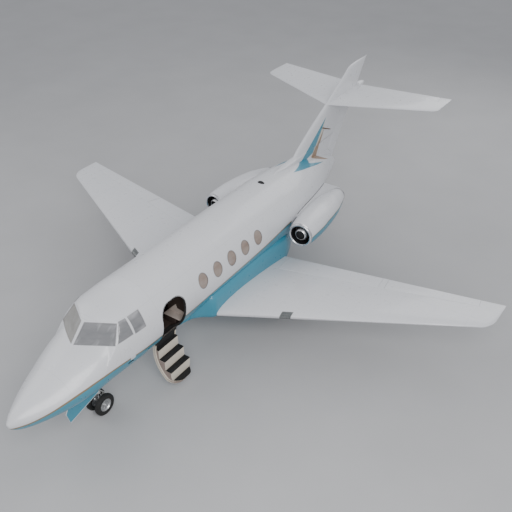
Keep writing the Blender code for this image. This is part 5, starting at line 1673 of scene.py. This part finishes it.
def build_main_gear(side, word):
    """Wheels, leg and door under one wing."""
    centre = at(LEG_X * side, LEG_Y, 0.292 * SOLID_SAG - NOSE_HEIGHT)
    rubber = rubber_tyre(f"main_rubber_{word}", MAIN_WIDTH / 2, LEG_X * side, MAIN_TRACK)
    body = f"main_wheels_{word}"
    wheels(f"main_wheel_castings_{word}", centre, MAIN_TRACK, MAIN_WIDTH, MAIN_RIM, body,
           f"main_wheel_hubs_{word}")
    for place, label in ((1, "outer"), (-1, "inner")):
        tyre(f"main_tread_{word}_{label}", centre + ACROSS * MAIN_TRACK * place * side, 0.2905, MAIN_WIDTH,
             MAIN_RIM, f"main_tyre_{word}_{label}", body, rubber)
    profile = [(-0.05, 0), (-0.05, 0.05), (-0.04, 0.055), (0.06, 0.055), (0.07, 0.040), (0.22, 0.040),
               (0.225, 0.0545), (0.27, 0.0545), (0.28, 0.050), (0.50, 0.050), (0.51, 0.0545), (0.855, 0.0545),
               (0.855, 0)]
    bm = lathe(profile, centre, UP, 36)
    scissor(bm, centre, 0.018, ((0.05, 0.02), (0.17, 0.13), (0.05, 0.24)), 0.009)
    piece(bm, f"main_leg_casting_{word}", STRUT_PAINT, "airframe", [f"main_leg_{word}"], 35)
    rim = [(7.90, -0.70), (8.30, -0.70), (8.26, -1.02), (7.94, -1.02)]
    bm = prism([at((LEG_X + LEG_SOCKET) * side, s, z) for s, z in rim], ACROSS * 0.016 * side)
    soften(bm, bm.edges, 0.004)
    piece(bm, f"main_door_panel_{word}", TEAL_PAINT, "airframe", [f"main_door_{word}"], 35)


def build_gear():
    """Nose gear with its doors, then both main gears."""
    wheel = at(0, NOSE_LEG_S, 0.285 * SOLID_SAG - NOSE_HEIGHT)
    rubber = rubber_tyre("nose_rubber", NOSE_WIDTH / 2, 0.0, NOSE_TRACK)
    wheels("nose_wheel_castings", wheel, NOSE_TRACK, NOSE_WIDTH, NOSE_RIM, "nose_wheels", "nose_wheel_hubs")
    for side, word in SIDES:
        tyre(f"nose_tread_{word}", wheel + ACROSS * NOSE_TRACK * side, 0.2835, NOSE_WIDTH, NOSE_RIM,
             f"nose_tyre_{word}", "nose_wheels", rubber)
        build_nose_door(side, word)
    build_nose_leg(wheel)
    for side, word in SIDES:
        build_main_gear(side, word)


# Small fittings on the skin

def on_hull(s, z, side=1):
    """Skin point at a station and height."""
    return HULL_FORM.hit(at(0, s, z), ACROSS * side)


def lifted(s, z, lift):
    """Point off the skin to port at a station and height."""
    spot = on_hull(s, z)
    return spot + HULL_FORM.normal(spot) * lift


def hull_dome(name, material, shift, size):
    """Ellipsoid sunk into the roof of the aft cabin."""
    top = HULL_FORM.hit(at(0, CABIN_END, 1.0), UP)
    bm = bmesh.new()
    bmesh.ops.create_uvsphere(bm, u_segments=28, v_segments=14, radius=1.0)
    bm.transform(Matrix.Translation(top + Vector(shift)) @ Matrix.Diagonal((*size, 1)))
    piece(bm, name, material)


def build_fittings():
    """Service hatch and slot on the nose's flank, and the ram air slot with its hood on the roof; both slots
    are black forms of painted shade.
    """
    stations = [lerp(2.77, 2.91, j / 4) for j in range(5)]
    rows = [[lifted(s, lerp(0.19, 0.31, i / 4), 0.003) for s in stations] for i in range(5)]
    grid_patch(rows, 0.006, HULL_FORM.normal, "service_hatch", WHITE_PAINT)
    turns = [math.pi * i / 8 for i in range(9)]
    line = [lifted(2.79 + 0.075 * math.cos(turn), 0.115 + 0.03 * math.sin(turn), 0.002) for turn in turns]
    # black bead of painted shade standing for the slot's opening
    piece(tube(line, 0.012, 8), "service_slot", SHADE_BLACK)
    # black dome of painted shade standing for the ram air slot's opening
    hull_dome("ram_slot", SHADE_BLACK, (0, 0, -0.008), (0.108, 0.064, 0.050))
    hull_dome("ram_hood", WHITE_PAINT, (0, 0.110, -0.014), (0.10, 0.085, 0.034))


# Floor, light and camera

# name, place, power and width of each lamp
LIGHTS = [("key", (12.0, -13.0, 13.5), 2550.0, 11.0), ("fill", (-14.0, -8.0, 12.0), 700.0, 13.0),
          ("back", (3.0, 17.0, 13.0), 900.0, 12.0)]
LIGHT_AIM = Vector((0, 0, 1.5))
CAMERA_PLACE = (9.975, -13.165, 12.692)
CAMERA_RIGHT = Vector((0.825, 0.566, -0.004))
CAMERA_FORWARD = Vector((-0.470, 0.682, -0.561))


def add_to_scene(name, data):
    """Object of a lamp or camera."""
    made = bpy.data.objects.new(name, data)
    bpy.context.scene.collection.objects.link(made)
    return made


def build_floor():
    """Wide studio floor in a soft grey."""
    look = Look("studio_floor", (0.45, 0.45, 0.46), 0.85)
    cloud = look.span(look.noise(0.5, 3.0), 0.3, 0.7)
    look.color(look.mix(cloud, (0.44, 0.44, 0.445), (0.465, 0.465, 0.47)))
    bm = bmesh.new()
    bmesh.ops.create_grid(bm, x_segments=1, y_segments=1, size=90.0)
    piece(bm, "studio_floor_plane", look.material, None)


def build_lights():
    """Pale sky and three large lamps aimed at the cabin."""
    world = bpy.data.worlds.new("studio")
    world.use_nodes = True
    sky = world.node_tree.nodes["Background"].inputs
    sky["Color"].default_value = (0.93, 0.95, 1.0, 1)
    sky["Strength"].default_value = 0.70
    bpy.context.scene.world = world
    for name, place, power, size in LIGHTS:
        data = bpy.data.lights.new(name, "AREA")
        data.energy = power
        data.size = size
        made = add_to_scene(name, data)
        made.location = place
        made.rotation_mode = "QUATERNION"
        made.rotation_quaternion = (LIGHT_AIM - Vector(place)).to_track_quat("-Z", "Y")


def build_camera():
    """Camera solved from the photo."""
    data = bpy.data.cameras.new("camera")
    data.lens = 50.0
    data.sensor_width = 36.0
    data.clip_end = 300.0
    forward = CAMERA_FORWARD.normalized()
    right = (CAMERA_RIGHT - forward * CAMERA_RIGHT.dot(forward)).normalized()
    down = forward.cross(right)
    turn = Matrix((right, -down, -forward)).transposed().to_4x4()
    made = add_to_scene("camera", data)
    made.matrix_world = Matrix.Translation(CAMERA_PLACE) @ turn
    bpy.context.scene.camera = made


build_skin()
build_glass()
build_airstair()
build_interior()
for side, word in SIDES:
    build_wing(side, word)
build_fairing()
build_tailplane()
build_fin()
for side, word in SIDES:
    engine = Engine(side, word)
    build_nacelle(engine)
    build_fan(engine)
    build_core(engine)
    build_pylon(side, word)
build_gear()
build_fittings()
build_floor()
build_lights()
build_camera()
